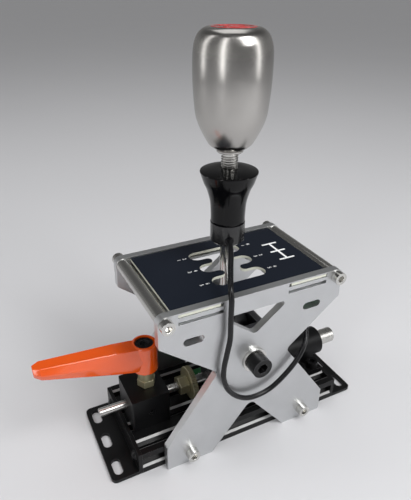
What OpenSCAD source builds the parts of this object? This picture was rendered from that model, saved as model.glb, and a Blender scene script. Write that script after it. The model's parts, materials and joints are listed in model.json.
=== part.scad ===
// Gear shifter with an H-pattern gate, a gimballed lever and an adjustable friction rod.
// X runs along the base rail towards the forward gears, Z is up, and the origin is
// the middle of the rail's underside.

/* [Base rail] */
// Length of the base rail
rail_l = 180; // [176:1:230]
// Width of the base rail, which sets the gap between the side plates
rail_w = 80; // [76:1:100]
// Height of the base rail
rail_h = 20; // [18:0.5:22]
// Spacing of the slots across the rail
slot_pitch = 20; // [19:0.5:22]
// Width of a rail slot at its mouth
slot_mouth = 9.2; // [8:0.1:10]
// Width of a rail slot at its neck
slot_neck = 6.2; // [6.2:0.1:7]
// Width of the chamber behind a slot's neck
slot_chamber = 11; // [10:0.1:12]
// Depth of a rail slot
slot_depth = 6.1; // [5.8:0.1:6.5]
// Thickness of a slot's lips
slot_lip = 1.8; // [1.6:0.1:2.2]

/* [Foot brackets] */
// Reach of a foot beyond the rail's end
foot_reach = 24; // [20:1:34]
// Thickness of the foot brackets
foot_t = 3; // [2:0.5:4]
// Length of a mounting slot
foot_slot_l = 15; // [12:1:20]
// Width of a mounting slot
foot_slot_w = 7; // [5:0.5:8]
// Spacing of the mounting slots
foot_slot_pitch = 28; // [24:1:30]
// Thread of the bracket screws
foot_screw_d = 5; // [4:1:5]

/* [Side plates] */
// Thickness of a side plate
plate_t = 6; // [4:0.5:8]
// Distance of a corner tube from the middle
tube_x = 70; // [66:0.5:78]
// Height of the corner tubes
tube_z = 138; // [134:0.5:146]
// Radius of a plate's top corners
corner_r = 5.5; // [5:0.1:7]
// Height of the lower edge of a plate's shoulders
shoulder_z = 119; // [112:0.5:124]
// Distance of the side notches from the middle
notch_x = 30; // [27:0.5:34]
// Height of the side notches
notch_z = 82; // [78:0.5:88]
// Distance of a leg's outer edge from the middle
leg_x = 72; // [66:0.5:80]
// Height of a leg's outer edge
leg_z = 22.5; // [20:0.5:28]
// Distance of a leg's inner edge from the middle
leg_in = 33.8; // [28:0.5:38]
// Height of the arch between the legs
arch_z = 42; // [36:0.5:48]
// Distance of a rail bolt from the middle
rail_bolt_x = 52; // [46:0.5:58]
// Thread of the corner and rail bolts
bolt_d = 6; // [5:1:6]
// Diameter of the corner tubes
tube_d = 10; // [9:0.5:11]
// Distance of a shoulder slot from the middle
vent_x = 49.5; // [45:0.5:54]
// Height of the shoulder slots
vent_z = 118; // [115:0.5:122]
// Length of a shoulder slot
vent_l = 16; // [12:0.5:20]
// Width of a shoulder slot
vent_w = 6; // [4:0.5:8]
// Width of the window at its top
window_w = 56; // [40:1:60]
// Height of the window's top edge
window_top = 129; // [124:0.5:131]
// Height of the window's lower corner
window_low = 107; // [104:0.5:114]

/* [Gate] */
// Thickness of the gate plate
gate_t = 2.2; // [1.5:0.1:2.6]
// Thickness of the film on the gate plate
label_t = 0.5; // [0.3:0.1:0.8]
// Spacing of the gate's slots
gate_pitch = 20; // [19:0.5:21]
// Width of a gate slot
gate_slot_w = 13.2; // [12.4:0.1:14]
// Length of the gate's slots
gate_slot_l = 44; // [40:0.2:46]
// Width of the neutral channel
neutral_w = 14.5; // [13:0.1:16]
// Distance of a tab's inner end from the middle
tab_x0 = 29; // [26:0.5:34]
// Distance of a tab's outer end from the middle
tab_x1 = 60.5; // [54:0.5:61]
// Length of a tab slot's spare end, towards the middle
tab_spare = 2; // [1:0.5:3]
// Drop from the gate plate to the guide plate below it
guide_drop = 5.6; // [5:0.1:8]

/* [Gimbal] */
// Tilt of the lever towards each gear
shift_tilt = 14.5; // [12:0.5:14.5]
// Height of the gimbal's centre
pivot_z = 84; // [82:0.5:90]
// Thread of the pivot bolts
pivot_d = 10; // [8:1:10]
// Flange diameter of the pivot bushes
flange_d = 20; // [18:0.5:24]
// Thickness of the pivot bushes' flanges
flange_t = 3; // [2:0.5:4]
// Length of the yoke along the rail
yoke_l = 48; // [46:1:54]
// Wall thickness of the yoke's ends
yoke_end_t = 8; // [6:0.5:9]
// Width of the yoke across its side walls
yoke_w = 68; // [64:1:72]
// Height of the yoke's top above the gimbal's centre
yoke_up = 14; // [12:0.5:16]
// Depth of the yoke's floor below the gimbal's centre
yoke_down = 30; // [29:0.5:31]
// Thickness of the yoke's floor
yoke_floor = 4; // [3:0.5:5]
// Diameter of the cross pin
cross_pin_d = 8; // [7:0.5:9]
// Diameter of the lever's hub
hub_d = 26; // [24:0.5:28]
// Length of the hub's tail below the gimbal's centre
tail_l = 24; // [22:0.5:24.5]
// Distance of the centring springs below the gimbal's centre
centring_drop = 19; // [16:0.5:19.5]
// Outer diameter of the centring springs
centring_d = 9; // [8:0.5:10]
// Wire of the centring springs
centring_wire = 1.2; // [1:0.1:1.4]

/* [Lever] */
// Diameter of the lever through the gate
lever_d = 10; // [9:0.5:11]
// Thread of the lever above the switch housing
stem_d = 12; // [11:0.5:12.5]
// Height of the switch housing's underside
housing_z = 163; // [160:0.5:168]
// Height of the switch housing
housing_h = 16; // [14:0.5:18]
// Diameter of the switch housing
housing_d = 25.6; // [25:0.1:30]
// Height of the lift ring
ring_h = 38.2; // [34:0.2:42]
// Diameter of the lift ring's rim
ring_rim_d = 41.4; // [38:0.2:46]
// Diameter of the lift ring at its lower end
ring_low_d = 25.2; // [24.6:0.2:28]
// Travel of the lift ring
ring_travel = 10; // [6:0.5:10]
// Length of bare thread between the lift ring and the knob
thread_show = 13.5; // [12:0.5:18]
// Height of the knob
knob_h = 78.5; // [70:0.5:90]
// Largest diameter of the knob
knob_d = 51.4; // [46:0.2:58]
// Diameter of the knob's flat top
knob_top_d = 34.4; // [33:0.2:38]

/* [Friction rod] */
// Height of the friction rod above the rail's underside
rod_z = 35; // [34:0.5:36]
// Diameter of the rod in the clamp block
rod_d = 7; // [6.5:0.5:8]
// Diameter of the shaft in the bearing block
shaft_d = 14; // [12:0.5:15]
// Distance of the clamp block from the rail's end
block_end = 2; // [1:0.5:4]
// Length of the clamp block along the rail
block_l = 31; // [28:0.5:32]
// Width of the clamp block
block_w = 35; // [32:1:40]
// Height of the clamp block
block_h = 30; // [28:0.5:32]
// Distance of the clamping screw from the clamp block's middle
clamp_off = 2.5; // [1:0.5:4]
// Diameter of the knurled thumb wheel
wheel_d = 28; // [25:0.5:29.5]
// Thickness of the thumb wheel
wheel_t = 4.5; // [4:0.5:6]
// Width of the lock nut across its flats
nut_af = 14; // [13:0.5:17]
// Thickness of the lock nut
nut_t = 8.5; // [6:0.5:9]
// Diameter of the yoke arm's round tip
tip_d = 10; // [9:0.5:11]
// Distance of the bearing block's foot from the rail's end
bearing_end = 1; // [0.5:0.5:3]
// Length of the bearing block's foot along the rail
bearing_l = 29; // [26:0.5:32]
// Diameter of the bearing block's round top
bearing_d = 25.5; // [24:0.5:30]
// Width of the bearing block's foot
bearing_foot_w = 52; // [50:0.5:56]
// Thickness of the bearing block's foot
bearing_foot_t = 5; // [4:0.5:6]

/* [Clamping lever] */
// Diameter of the clamping lever's hub
grip_hub_d = 20; // [18:0.5:24]
// Height of the hub
grip_hub_h = 25; // [24:0.5:28]
// Gap between the clamp block and the hub
grip_gap = 16; // [14:0.5:20]
// Reach of the grip from the hub's axis
grip_reach = 82; // [70:1:90]
// Rise of the grip towards its end
grip_rise = 10.5; // [8:0.5:14]
// Width of the grip at its end
grip_end_w = 14; // [11:0.5:16]
// Lift of the grip off its teeth
grip_lift = 4; // [3:0.5:4.5]

/* [Boards and cable] */
// Length of the controller board
board_l = 30; // [26:1:32]
// Height of the controller board
board_h = 26; // [22:1:27]
// Thickness of the circuit boards
board_t = 1.6; // [1:0.2:2]
// Diameter of the lever's cable
cable_d = 4; // [3:0.5:4.5]

/* [Hidden] */

$fn = 64;
eps = 0.01;
// Radial clearance of a running fit, of a seat, and the gap between moving pieces
run_fit = 0.05;
seat_fit = 0.03;
gap = 0.3;

plate_in = rail_w / 2;
plate_out = plate_in + plate_t;
plate_top = tube_z + corner_r;
slot_n = floor(rail_w / slot_pitch);
rail_bore = foot_screw_d + 2 * run_fit;

label_drop = 0.8;
label_z = plate_top - label_drop;
gate_z = label_z - label_t - gate_t;
guide_z = gate_z - guide_drop;
gate_half = tube_x - tube_d / 2 - 1.5;
guide_open = [52, 60];
tab_gap = 0.3;
tooth_w = gate_pitch - gate_slot_w;

arm_drop = pivot_z - rod_z;

wall_y = yoke_w / 2;
cavity_x = yoke_l / 2 - yoke_end_t;
cavity_y = wall_y - 10;
hub_half = cavity_x - 0.5;
tail_half = 5;
boss_out = plate_in - 2;

stem_low = pivot_z + 6;
ring_z = housing_z + housing_h + gap;
ring_top = ring_z + ring_h;
knob_z = ring_top + thread_show;
stem_top = knob_z + 32;
ring_bore = 20;
ring_floor = 7;
ring_spring_solid = 8.6;
collar_z = ring_z + ring_floor + ring_travel + ring_spring_solid + 2 * gap;

block_x = rail_l / 2 - block_end - block_l / 2;
clamp_x = block_x - clamp_off;
bearing_x = rail_l / 2 - bearing_end - bearing_l;
rod_out = rail_l / 2 + 20;
rod_travel = arm_drop * sin(shift_tilt);
nut_clear = 1.7;
nut_x = block_x - block_l / 2 - rod_travel - nut_clear;
wheel_x = nut_x - nut_t - gap;
wheel_far = wheel_x - wheel_t;
thread_x = nut_x + 1;
pad_top = rod_z + rod_d / 2 + 2;
thread_d = 8;
shaft_end = rail_l / 2 + 27;
bush_wall = 2;
bearing_collar = 9.5;

block_top = rail_h + block_h;
grip_z = block_top + grip_gap;
screw_head_d = 15;
neck_d = 12.5;
web_t = 2;
cap_h = 3;
cap_z = grip_z + grip_hub_h - cap_h - 0.8;
grip_spring_solid = 4.7;
web_z = cap_z - web_t - grip_lift - grip_spring_solid;

// Outline of round corners: each point is [x, y, r], and r is the corner's radius
function unit(v) = v / norm(v);
function corner(a, b, c, r, n) =
  let (u = unit(a - b), w = unit(c - b), half = acos(u * w) / 2)
  let (mid = b + unit(u + w) * r / sin(half), p = b + u * r / tan(half) - mid)
  let (turn = (cross(b - a, c - b) > 0 ? 1 : -1) * (180 - 2 * half), from = atan2(p[1], p[0]))
  r == 0 ? [b] : [for (i = [0:n]) mid + r * [cos(from + turn * i / n), sin(from + turn * i / n)]];
function xy(p) = [p[0], p[1]];
function rounded(p, n = 6) =
  let (k = len(p))
  [for (i = [0:k - 1]) each corner(xy(p[(i + k - 1) % k]), xy(p[i]), xy(p[(i + 1) % k]), p[i][2], n)];
// An outline given for +X, going up in Y, and closed by its mirror image
function both_sides(p) = concat(p, [for (i = [len(p) - 1:-1:0]) [-p[i][0], p[i][1], p[i][2]]]);
function box_outline(w, h, r) =
  [[w / 2, -h / 2, r], [w / 2, h / 2, r], [-w / 2, h / 2, r], [-w / 2, -h / 2, r]];

module along_x(x0, x1, d) translate([x0, 0, 0]) rotate([0, 90, 0]) cylinder(h = x1 - x0, d = d);
module along_y(y0, y1, d) translate([0, y0, 0]) rotate([-90, 0, 0]) cylinder(h = y1 - y0, d = d);
module both_x() for (s = [-1, 1]) scale_x(s) children();
module scale_x(s) mirror([s < 0 ? 1 : 0, 0, 0]) children();
module both_y() for (s = [-1, 1]) mirror([0, s < 0 ? 1 : 0, 0]) children();
// A flat shape drawn in X and Z, standing from y0 towards -Y
module upright(y0, t) translate([0, y0, 0]) rotate([90, 0, 0]) linear_extrude(t) children();
// A flat shape drawn in Y and Z, run along X
module run_x(x0, x1) translate([x0, 0, 0]) rotate([90, 0, 90]) linear_extrude(x1 - x0) children();

// Cap screw with its head's underside at z = 0 and its shank pointing down
module cap_screw(d, l, head_d, head_h) {
  difference() {
    union() {
      cylinder(h = head_h, d = head_d);
      translate([0, 0, -l]) cylinder(h = l + eps, d = d);
    }
    translate([0, 0, head_h * 0.4]) cylinder(h = head_h, d = head_d * 0.56, $fn = 6);
  }
}

// Round button-head screw in the same place
module button_screw(d, l, head_d, head_h) {
  dome_r = (head_d * head_d / 4 + head_h * head_h) / (2 * head_h);
  difference() {
    union() {
      intersection() {
        cylinder(h = head_h, d = head_d);
        translate([0, 0, head_h - dome_r]) sphere(dome_r);
      }
      translate([0, 0, -l]) cylinder(h = l + eps, d = d);
    }
    translate([0, 0, head_h * 0.4]) cylinder(h = head_h, d = head_d * 0.34, $fn = 6);
  }
}

// Tube of round section swept through the given points
function along(p) = [for (i = [0:len(p) - 1])
  unit(p[min(i + 1, len(p) - 1)] - p[max(i - 1, 0)])];
function square_to(n, t) = unit(n - (n * t) * t);
function normals(t, first) =
  [for (i = 0, n = square_to(first, t[0]); i < len(t); i = i + 1,
    n = i < len(t) ? square_to(n, t[i]) : n) n];
module tube(p, d, sides, first) {
  t = along(p);
  n = normals(t, first);
  rings = len(p);
  points = [for (i = [0:rings - 1], k = [0:sides - 1])
    p[i] + d / 2 * (cos(360 * k / sides) * n[i] + sin(360 * k / sides) * cross(t[i], n[i]))];
  sleeve = [for (i = [0:rings - 2], k = [0:sides - 1])
    let (a = i * sides + k, b = i * sides + (k + 1) % sides)
    each [[a, a + sides, b], [b, a + sides, b + sides]]];
  caps = [for (k = [1:sides - 2]) each [[0, k, k + 1],
    [(rings - 1) * sides, (rings - 1) * sides + k + 1, (rings - 1) * sides + k]]];
  polyhedron(points = points, faces = concat(sleeve, caps));
}

// Coil of a compression spring from z = 0 to z = l, with straight wire ends
coil_rings = 8;
function coil(d, wire, turns, l) =
  let (r = (d - wire) / 2, n = turns * coil_rings, z0 = wire, rise = l - 2 * wire)
  concat([[r, 0, 0]],
    [for (i = [0:n]) [r * cos(360 * i / coil_rings), r * sin(360 * i / coil_rings), z0 + rise * i / n]],
    [[r, 0, l]]);
function coil_gap(p, wire) = min([for (i = [1:len(p) - 2], j = [i + coil_rings - 2:1:len(p) - 2])
  norm(p[i] - p[j])]) - wire;
module spring(name, d, wire, turns, l) {
  p = coil(d, wire, turns, l);
  echo(str("least gap of ", name, " to itself"), coil_gap(p, wire));
  tube(p, wire, 6, [1, 0, 0]);
}

// Base rail
module rail_slot() {
  flat = slot_lip + 1.65;
  foot = slot_chamber / 2 - (slot_depth - flat);
  polygon(both_sides_xy([[slot_mouth / 2, eps], [slot_neck / 2, (slot_neck - slot_mouth) / 2],
    [slot_neck / 2, -slot_lip], [slot_chamber / 2, -slot_lip], [slot_chamber / 2, -flat],
    [foot, -slot_depth]]));
}
function both_sides_xy(p) = concat(p, [for (i = [len(p) - 1:-1:0]) [-p[i][0], p[i][1]]]);
slot_y = [for (i = [0:slot_n - 1]) (i - (slot_n - 1) / 2) * slot_pitch];
web_y = [for (i = [0:slot_n - 2]) (i - (slot_n - 2) / 2) * slot_pitch];
hollow = [7, rail_h - 2 * slot_depth - 1.4];

module rail_profile() {
  difference() {
    square([rail_w, rail_h], center = true);
    for (y = slot_y) {
      translate([y, rail_h / 2]) rail_slot();
      translate([y, -rail_h / 2]) mirror([0, 1]) rail_slot();
      translate([y, 0]) circle(d = rail_bore);
    }
    for (y = web_y) translate([y, 0]) square(hollow, center = true);
    translate([rail_w / 2, 0]) rotate(-90) rail_slot();
    translate([-rail_w / 2, 0]) rotate(90) rail_slot();
  }
}

block_screw_in = 6;
block_screw_x = [block_x - block_l / 2 + block_screw_in, block_x + block_l / 2 - block_screw_in];
block_screw_y = slot_pitch / 2;
block_screw_d = 5;
bearing_screw_in = 7.5;
bearing_screw_x = [bearing_x + bearing_screw_in, bearing_x + bearing_l - bearing_screw_in];
bearing_screw_y = slot_pitch + 0.5;
bearing_screw_d = 6;
bearing_screw_depth = slot_depth;

module base_rail() color([0.08, 0.08, 0.09]) {
  difference() {
    translate([0, 0, rail_h / 2]) run_x(-rail_l / 2, rail_l / 2) rail_profile();
    for (x = block_screw_x, y = [-block_screw_y, block_screw_y]) translate([-x, y, 0]) {
      translate([0, 0, -1]) cylinder(h = rail_h + 2, d = block_screw_d + 2 * run_fit);
      translate([0, 0, -1]) cylinder(h = slot_depth + 1.4, d = slot_chamber);
    }
    for (x = bearing_screw_x, y = [-bearing_screw_y, bearing_screw_y])
      translate([x, y, rail_h - bearing_screw_depth])
        cylinder(h = bearing_screw_depth + 1, d = bearing_screw_d + 2 * run_fit);
  }
}

// Foot brackets, drawn for the +X end of the rail
foot_slot_x = rail_l / 2 + foot_reach - 7;
foot_screw_y = slot_y[slot_n - 1];
foot_screw_l = 14;

module foot_bracket() {
  reach = foot_reach;
  difference() {
    union() {
      translate([rail_l / 2 + reach / 2, 0, 0])
        linear_extrude(foot_t) polygon(rounded([[reach / 2, -rail_w / 2, 4], [reach / 2, rail_w / 2, 4],
          [-reach / 2, rail_w / 2, 0], [-reach / 2, -rail_w / 2, 0]]));
      translate([rail_l / 2, -rail_w / 2, 0]) cube([foot_t, rail_w, rail_h]);
    }
    for (y = [-foot_slot_pitch, 0, foot_slot_pitch]) translate([foot_slot_x, y, -1]) {
      run = (foot_slot_l - foot_slot_w) / 2;
      for (s = [-run, run]) translate([0, s, 0]) cylinder(h = foot_t + 2, d = foot_slot_w);
      translate([-foot_slot_w / 2, -run, 0]) cube([foot_slot_w, 2 * run, foot_t + 2]);
    }
    for (y = [-foot_screw_y, foot_screw_y]) translate([0, y, rail_h / 2])
      along_x(rail_l / 2 - 1, rail_l / 2 + foot_t + 1, foot_screw_d + 2 * run_fit);
  }
}
module left_foot_bracket() color([0.06, 0.06, 0.07]) mirror([1, 0, 0]) foot_bracket();
module right_foot_bracket() color([0.06, 0.06, 0.07]) foot_bracket();
module foot_bracket_screws() color([0.15, 0.15, 0.16]) {
  both_x() for (y = [-foot_screw_y, foot_screw_y])
    translate([rail_l / 2 + foot_t, y, rail_h / 2]) rotate([0, 90, 0])
      button_screw(foot_screw_d, foot_screw_l, foot_screw_d * 1.9, foot_screw_d * 0.55);
}

// Side plates, drawn for the front one
plate_edge = tube_x + corner_r;
guide_t = gate_t;

module plate_outline() {
  polygon(rounded(both_sides([[leg_x, 0, 1.5], [leg_x, leg_z, 2], [notch_x, notch_z, 4],
    [plate_edge, shoulder_z, 2], [plate_edge, plate_top, corner_r - eps]]), 8));
}
module arch_cut() polygon(rounded([[-leg_in, -eps, 0], [leg_in, -eps, 0], [0, arch_z, 5]], 8));
module window_cut() {
  polygon(rounded([[window_w / 2, window_top, 2.2], [-window_w / 2, window_top, 2.2],
    [0, window_low, 4]]));
}
module vent_cut() polygon(rounded(box_outline(vent_l, vent_w, vent_w / 2 - eps)));

module side_plate() {
  difference() {
    upright(-plate_in, plate_t) difference() {
      plate_outline();
      arch_cut();
      window_cut();
      for (s = [-1, 1]) {
        translate([s * vent_x, vent_z]) vent_cut();
        for (z = [[gate_z, gate_t], [guide_z, guide_t]])
          translate([s * (tab_x0 - tab_spare + tab_x1) / 2, z[0] + z[1] / 2])
            square([tab_x1 - tab_x0 + tab_spare + 2 * tab_gap, z[1] + 2 * tab_gap], center = true);
      }
    }
    for (s = [-1, 1]) {
      translate([s * tube_x, 0, tube_z]) along_y(-plate_out - 1, -plate_in + 1, bolt_d + 0.4);
      translate([s * rail_bolt_x, 0, rail_h / 2]) along_y(-plate_out - 1, -plate_in + 1, bolt_d + 0.4);
    }
    translate([0, 0, pivot_z])
      along_y(-plate_out - 1, -plate_in + 1, pivot_d + 2 * bush_wall + 2 * seat_fit);
  }
}
module front_side_plate() color([0.80, 0.81, 0.82]) side_plate();
module rear_side_plate() color([0.80, 0.81, 0.82]) mirror([0, 1, 0]) side_plate();

// Bolts, nuts and tubes of the frame
head_d = bolt_d * 1.67;
module rail_bolts() color([0.72, 0.70, 0.67]) {
  both_y() for (s = [-1, 1]) translate([s * rail_bolt_x, -plate_out, rail_h / 2]) rotate([90, 0, 0])
    cap_screw(bolt_d, plate_t + slot_depth - 0.3, head_d, bolt_d);
}
module rail_t_nuts() color([0.55, 0.55, 0.56]) {
  nut_l = 14;
  play = 0.15;
  flat = slot_lip + 1.65;
  low = slot_depth - 0.5;
  low_w = slot_chamber / 2 - (low - flat) - play;
  both_y() for (s = [-1, 1]) translate([s * rail_bolt_x, -plate_in, rail_h / 2]) difference() {
    translate([-nut_l / 2, 0, 0]) run_x(0, nut_l) polygon([
      [slot_lip + play, -slot_chamber / 2 + play], [flat, -slot_chamber / 2 + play], [low, -low_w],
      [low, low_w], [flat, slot_chamber / 2 - play], [slot_lip + play, slot_chamber / 2 - play]]);
    along_y(-1, slot_depth + 1, bolt_d + 2 * run_fit);
  }
}
module corner_tube() {
  translate([tube_x, 0, tube_z]) difference() {
    along_y(-plate_in, plate_in, tube_d);
    along_y(-plate_in - 1, plate_in + 1, bolt_d + 2 * run_fit);
  }
}
module left_corner_tube() color([0.78, 0.76, 0.72]) mirror([1, 0, 0]) corner_tube();
module right_corner_tube() color([0.78, 0.76, 0.72]) corner_tube();
module corner_bolts() color([0.72, 0.70, 0.67]) {
  both_y() for (s = [-1, 1]) translate([s * tube_x, -plate_out, tube_z]) rotate([90, 0, 0])
    cap_screw(bolt_d, plate_t + 16, head_d, bolt_d);
}

// Gate
module gate_cut() {
  e = gate_slot_l / 2;
  c = neutral_w / 2;
  w = gate_slot_w / 2;
  er = w - eps;
  tr = tooth_w / 2 - eps;
  p = gate_pitch;
  polygon(rounded(both_sides([[e, -p - w, er], [e, -p + w, er], [c, -p + w, tr], [c, -w, tr],
    [e, -w, er], [e, w, er], [c, w, tr], [c, p - w, tr], [e, p - w, er], [e, p + w, er]]), 5));
}
module tabs(reach) {
  for (s = [-1, 1]) translate([s * (tab_x0 + tab_x1) / 2, 0])
    square([tab_x1 - tab_x0, 2 * reach], center = true);
}
module gate_plate() color([0.62, 0.63, 0.60]) {
  translate([0, 0, gate_z]) linear_extrude(gate_t) difference() {
    union() {
      square([2 * gate_half, 2 * (plate_in - gap)], center = true);
      tabs(plate_out - 0.4);
    }
    gate_cut();
  }
}
module gate_film() color([0.09, 0.10, 0.13]) {
  translate([0, 0, gate_z + gate_t]) linear_extrude(label_t) difference() {
    square([2 * gate_half, 2 * (plate_in - gap)], center = true);
    gate_cut();
  }
}
module guide_plate() color([0.75, 0.76, 0.77]) {
  translate([0, 0, guide_z]) linear_extrude(guide_t) difference() {
    union() {
      square([2 * (tab_x1 + 3), 2 * (plate_in - gap)], center = true);
      tabs(plate_out - 2.5);
    }
    polygon(rounded(box_outline(guide_open[0], guide_open[1], 6)));
  }
}

// Pivots of the yoke in the side plates
module pivot_bushes() color([0.80, 0.79, 0.76]) {
  both_y() translate([0, 0, pivot_z]) difference() {
    union() {
      along_y(-plate_out - flange_t, -plate_out, flange_d);
      along_y(-plate_out - eps, -plate_in, pivot_d + 2 * bush_wall);
    }
    along_y(-plate_out - flange_t - 1, -plate_in + 1, pivot_d + 2 * run_fit);
  }
}
module pivot_bolts() color([0.07, 0.07, 0.08]) {
  both_y() translate([0, -plate_out - flange_t - gap, pivot_z]) rotate([90, 0, 0])
    cap_screw(pivot_d, plate_out + flange_t + gap - cavity_y - 1, pivot_d * 1.6, pivot_d);
}
module thrust_washers() color([0.78, 0.77, 0.74]) {
  both_y() translate([0, 0, pivot_z]) difference() {
    along_y(-plate_in + gap, -boss_out, flange_d);
    along_y(-plate_in, -boss_out + 1, pivot_d + 2 * run_fit);
  }
}

// Gimbal
arm_w = 12;
arm_t = 6;
module gimbal_yoke() color([0.70, 0.71, 0.72]) {
  half = yoke_l / 2;
  translate([0, 0, pivot_z]) difference() {
    union() {
      difference() {
        rotate([90, 0, 0]) translate([0, 0, -wall_y]) linear_extrude(2 * wall_y)
          polygon(rounded(both_sides([[half - 8, -yoke_down, 3], [half, -yoke_down + 12, 3],
            [half, yoke_up, 4]])));
        translate([-cavity_x, -cavity_y, -yoke_down + yoke_floor])
          cube([2 * cavity_x, 2 * cavity_y, yoke_down + yoke_up]);
      }
      both_y() along_y(-boss_out, -wall_y + 1, flange_d);
      translate([-arm_t / 2, -arm_w / 2, -arm_drop]) cube([arm_t, arm_w, arm_drop - yoke_down + 1]);
      translate([0, 0, -arm_drop]) along_y(-arm_w / 2, arm_w / 2, tip_d);
    }
    both_y() along_y(-boss_out - 1, -cavity_y + 1, pivot_d + 2 * run_fit);
    along_x(-half - 1, half + 1, cross_pin_d + 2 * seat_fit);
  }
}
module cross_pin() color([0.74, 0.73, 0.71]) {
  translate([0, 0, pivot_z]) along_x(-yoke_l / 2, yoke_l / 2, cross_pin_d);
}
select_board = [18, 2 * cavity_y - 2, 1];
module select_sensor_board() color([0.08, 0.34, 0.16]) {
  floor_z = pivot_z - yoke_down + yoke_floor;
  translate([-select_board[0] / 2, -select_board[1] / 2, floor_z]) cube(select_board);
}

// Lever hub, carried on the cross pin
hub_bush_d = cross_pin_d + 3;
hub_bush_l = 10;
tower_d = 18;
tower_h = 22;
tail_w = 11;
magnet_d = 5;
magnet_t = 2;
module lever_hub() color([0.60, 0.61, 0.63]) {
  translate([0, 0, pivot_z]) difference() {
    union() {
      along_x(-hub_half, hub_half, hub_d);
      cylinder(h = tower_h, d = tower_d);
      translate([-tail_w / 2, -tail_half, -tail_l]) cube([tail_w, 2 * tail_half, tail_l]);
    }
    along_x(-hub_half - 1, hub_half + 1, cross_pin_d + 2 * run_fit);
    both_x() along_x(hub_half - hub_bush_l, hub_half + 1, hub_bush_d + 2 * seat_fit);
    translate([0, 0, stem_low - pivot_z]) cylinder(h = tower_h, d = lever_d + 2 * seat_fit);
    translate([0, 0, -tail_l - eps]) cylinder(h = magnet_t + eps, d = magnet_d + 2 * seat_fit);
  }
}
module hub_bushes() color([0.72, 0.55, 0.30]) {
  both_x() translate([0, 0, pivot_z]) difference() {
    along_x(hub_half - hub_bush_l + seat_fit, hub_half, hub_bush_d);
    along_x(hub_half - hub_bush_l - 1, hub_half + 1, cross_pin_d + 2 * run_fit);
  }
}
module tail_magnet() color([0.70, 0.70, 0.72]) {
  translate([0, 0, pivot_z - tail_l]) cylinder(h = magnet_t - seat_fit, d = magnet_d);
}
module centring_spring(name) {
  translate([0, -cavity_y + gap, pivot_z - centring_drop]) rotate([-90, 0, 0])
    spring(name, centring_d, centring_wire, 6, cavity_y - tail_half - 2 * gap);
}
module front_centring_spring() color([0.66, 0.66, 0.68]) centring_spring("front_centring_spring");
module rear_centring_spring() color([0.66, 0.66, 0.68])
  mirror([0, 1, 0]) centring_spring("rear_centring_spring");

// Lever stem, switch housing and lift ring
step_z = housing_z - 3;
module lever_stem() color([0.72, 0.71, 0.69]) {
  translate([0, 0, stem_low + seat_fit]) cylinder(h = step_z - stem_low, d = lever_d);
  translate([0, 0, step_z]) cylinder(h = stem_top - step_z, d = stem_d);
}
switch_size = 4;
switch_h = 5;
switch_z = housing_z + housing_h - switch_h - 1;
switch_y = (stem_d + housing_d) / 4;
// The cable leaves the housing's wall here, straight out from the lever
cable_exit = [-4.6, -11.5, 168.5];
gland_turn = atan2(cable_exit[1], cable_exit[0]);
gland_out = norm(xy(cable_exit));
gland_d = 6.4;
gland_l = 5;
module at_gland() translate([0, 0, cable_exit[2]]) rotate([0, 0, gland_turn]) children();
module switch_housing() color([0.07, 0.07, 0.08]) {
  r = housing_d / 2;
  difference() {
    translate([0, 0, housing_z]) rotate_extrude() polygon(rounded([[0, 0, 0], [r - 2, 0, 0], [r, 2, 0],
      [r, housing_h, 0], [0, housing_h, 0]]));
    translate([0, 0, housing_z - 1]) cylinder(h = housing_h + 2, d = stem_d + 2 * seat_fit);
    translate([0, switch_y, switch_z + switch_h / 2 + 1])
      cube([switch_size + 2 * gap, switch_size + 2 * gap, switch_h + 2], center = true);
    at_gland() along_x(gland_out - gland_l, housing_d, gland_d + 2 * seat_fit);
  }
}
module lift_switch() color([0.12, 0.12, 0.13]) {
  translate([0, switch_y, switch_z]) {
    translate([-switch_size / 2, -switch_size / 2, 0]) cube([switch_size, switch_size, switch_h - 0.6]);
    cylinder(h = switch_h + 0.7, d = 2.4);
  }
}
module cable_gland() color([0.05, 0.05, 0.06]) {
  at_gland() difference() {
    along_x(gland_out - gland_l + seat_fit, gland_out, gland_d);
    along_x(gland_out - gland_l - 1, gland_out + 1, cable_d - 1);
  }
}
module spring_collar() color([0.60, 0.60, 0.62]) {
  translate([0, 0, collar_z]) difference() {
    cylinder(h = 5, d = ring_bore - 2 * gap - 1);
    translate([0, 0, -1]) cylinder(h = 7, d = stem_d + 2 * seat_fit);
  }
}
module lift_ring() color([0.04, 0.04, 0.05]) {
  low = ring_low_d / 2;
  rim = ring_rim_d / 2;
  flare = rim - low;
  difference() {
    translate([0, 0, ring_z]) rotate_extrude() polygon([[0, 0], [low - 0.8, 0], [low, 0.8],
      [low, ring_h * 0.14], [low + flare * 0.07, ring_h * 0.38], [low + flare * 0.25, ring_h * 0.55],
      [low + flare * 0.44, ring_h * 0.67], [low + flare * 0.70, ring_h * 0.79],
      [rim, ring_h * 0.985], [rim - 0.4, ring_h], [rim - 2.6, ring_h], [rim - 3.6, ring_h - 0.8],
      [ring_bore / 2 + 2, ring_h - 4], [0, ring_h - 4]]);
    translate([0, 0, ring_z + ring_floor]) cylinder(h = ring_h, d = ring_bore);
    translate([0, 0, ring_z - 1]) cylinder(h = ring_h, d = stem_d + 2 * run_fit);
  }
}
module ring_spring() color([0.66, 0.66, 0.68]) {
  z0 = ring_z + ring_floor + gap;
  translate([0, 0, z0]) spring("ring_spring", 18, 1.4, 5, collar_z - gap - z0);
}

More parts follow.
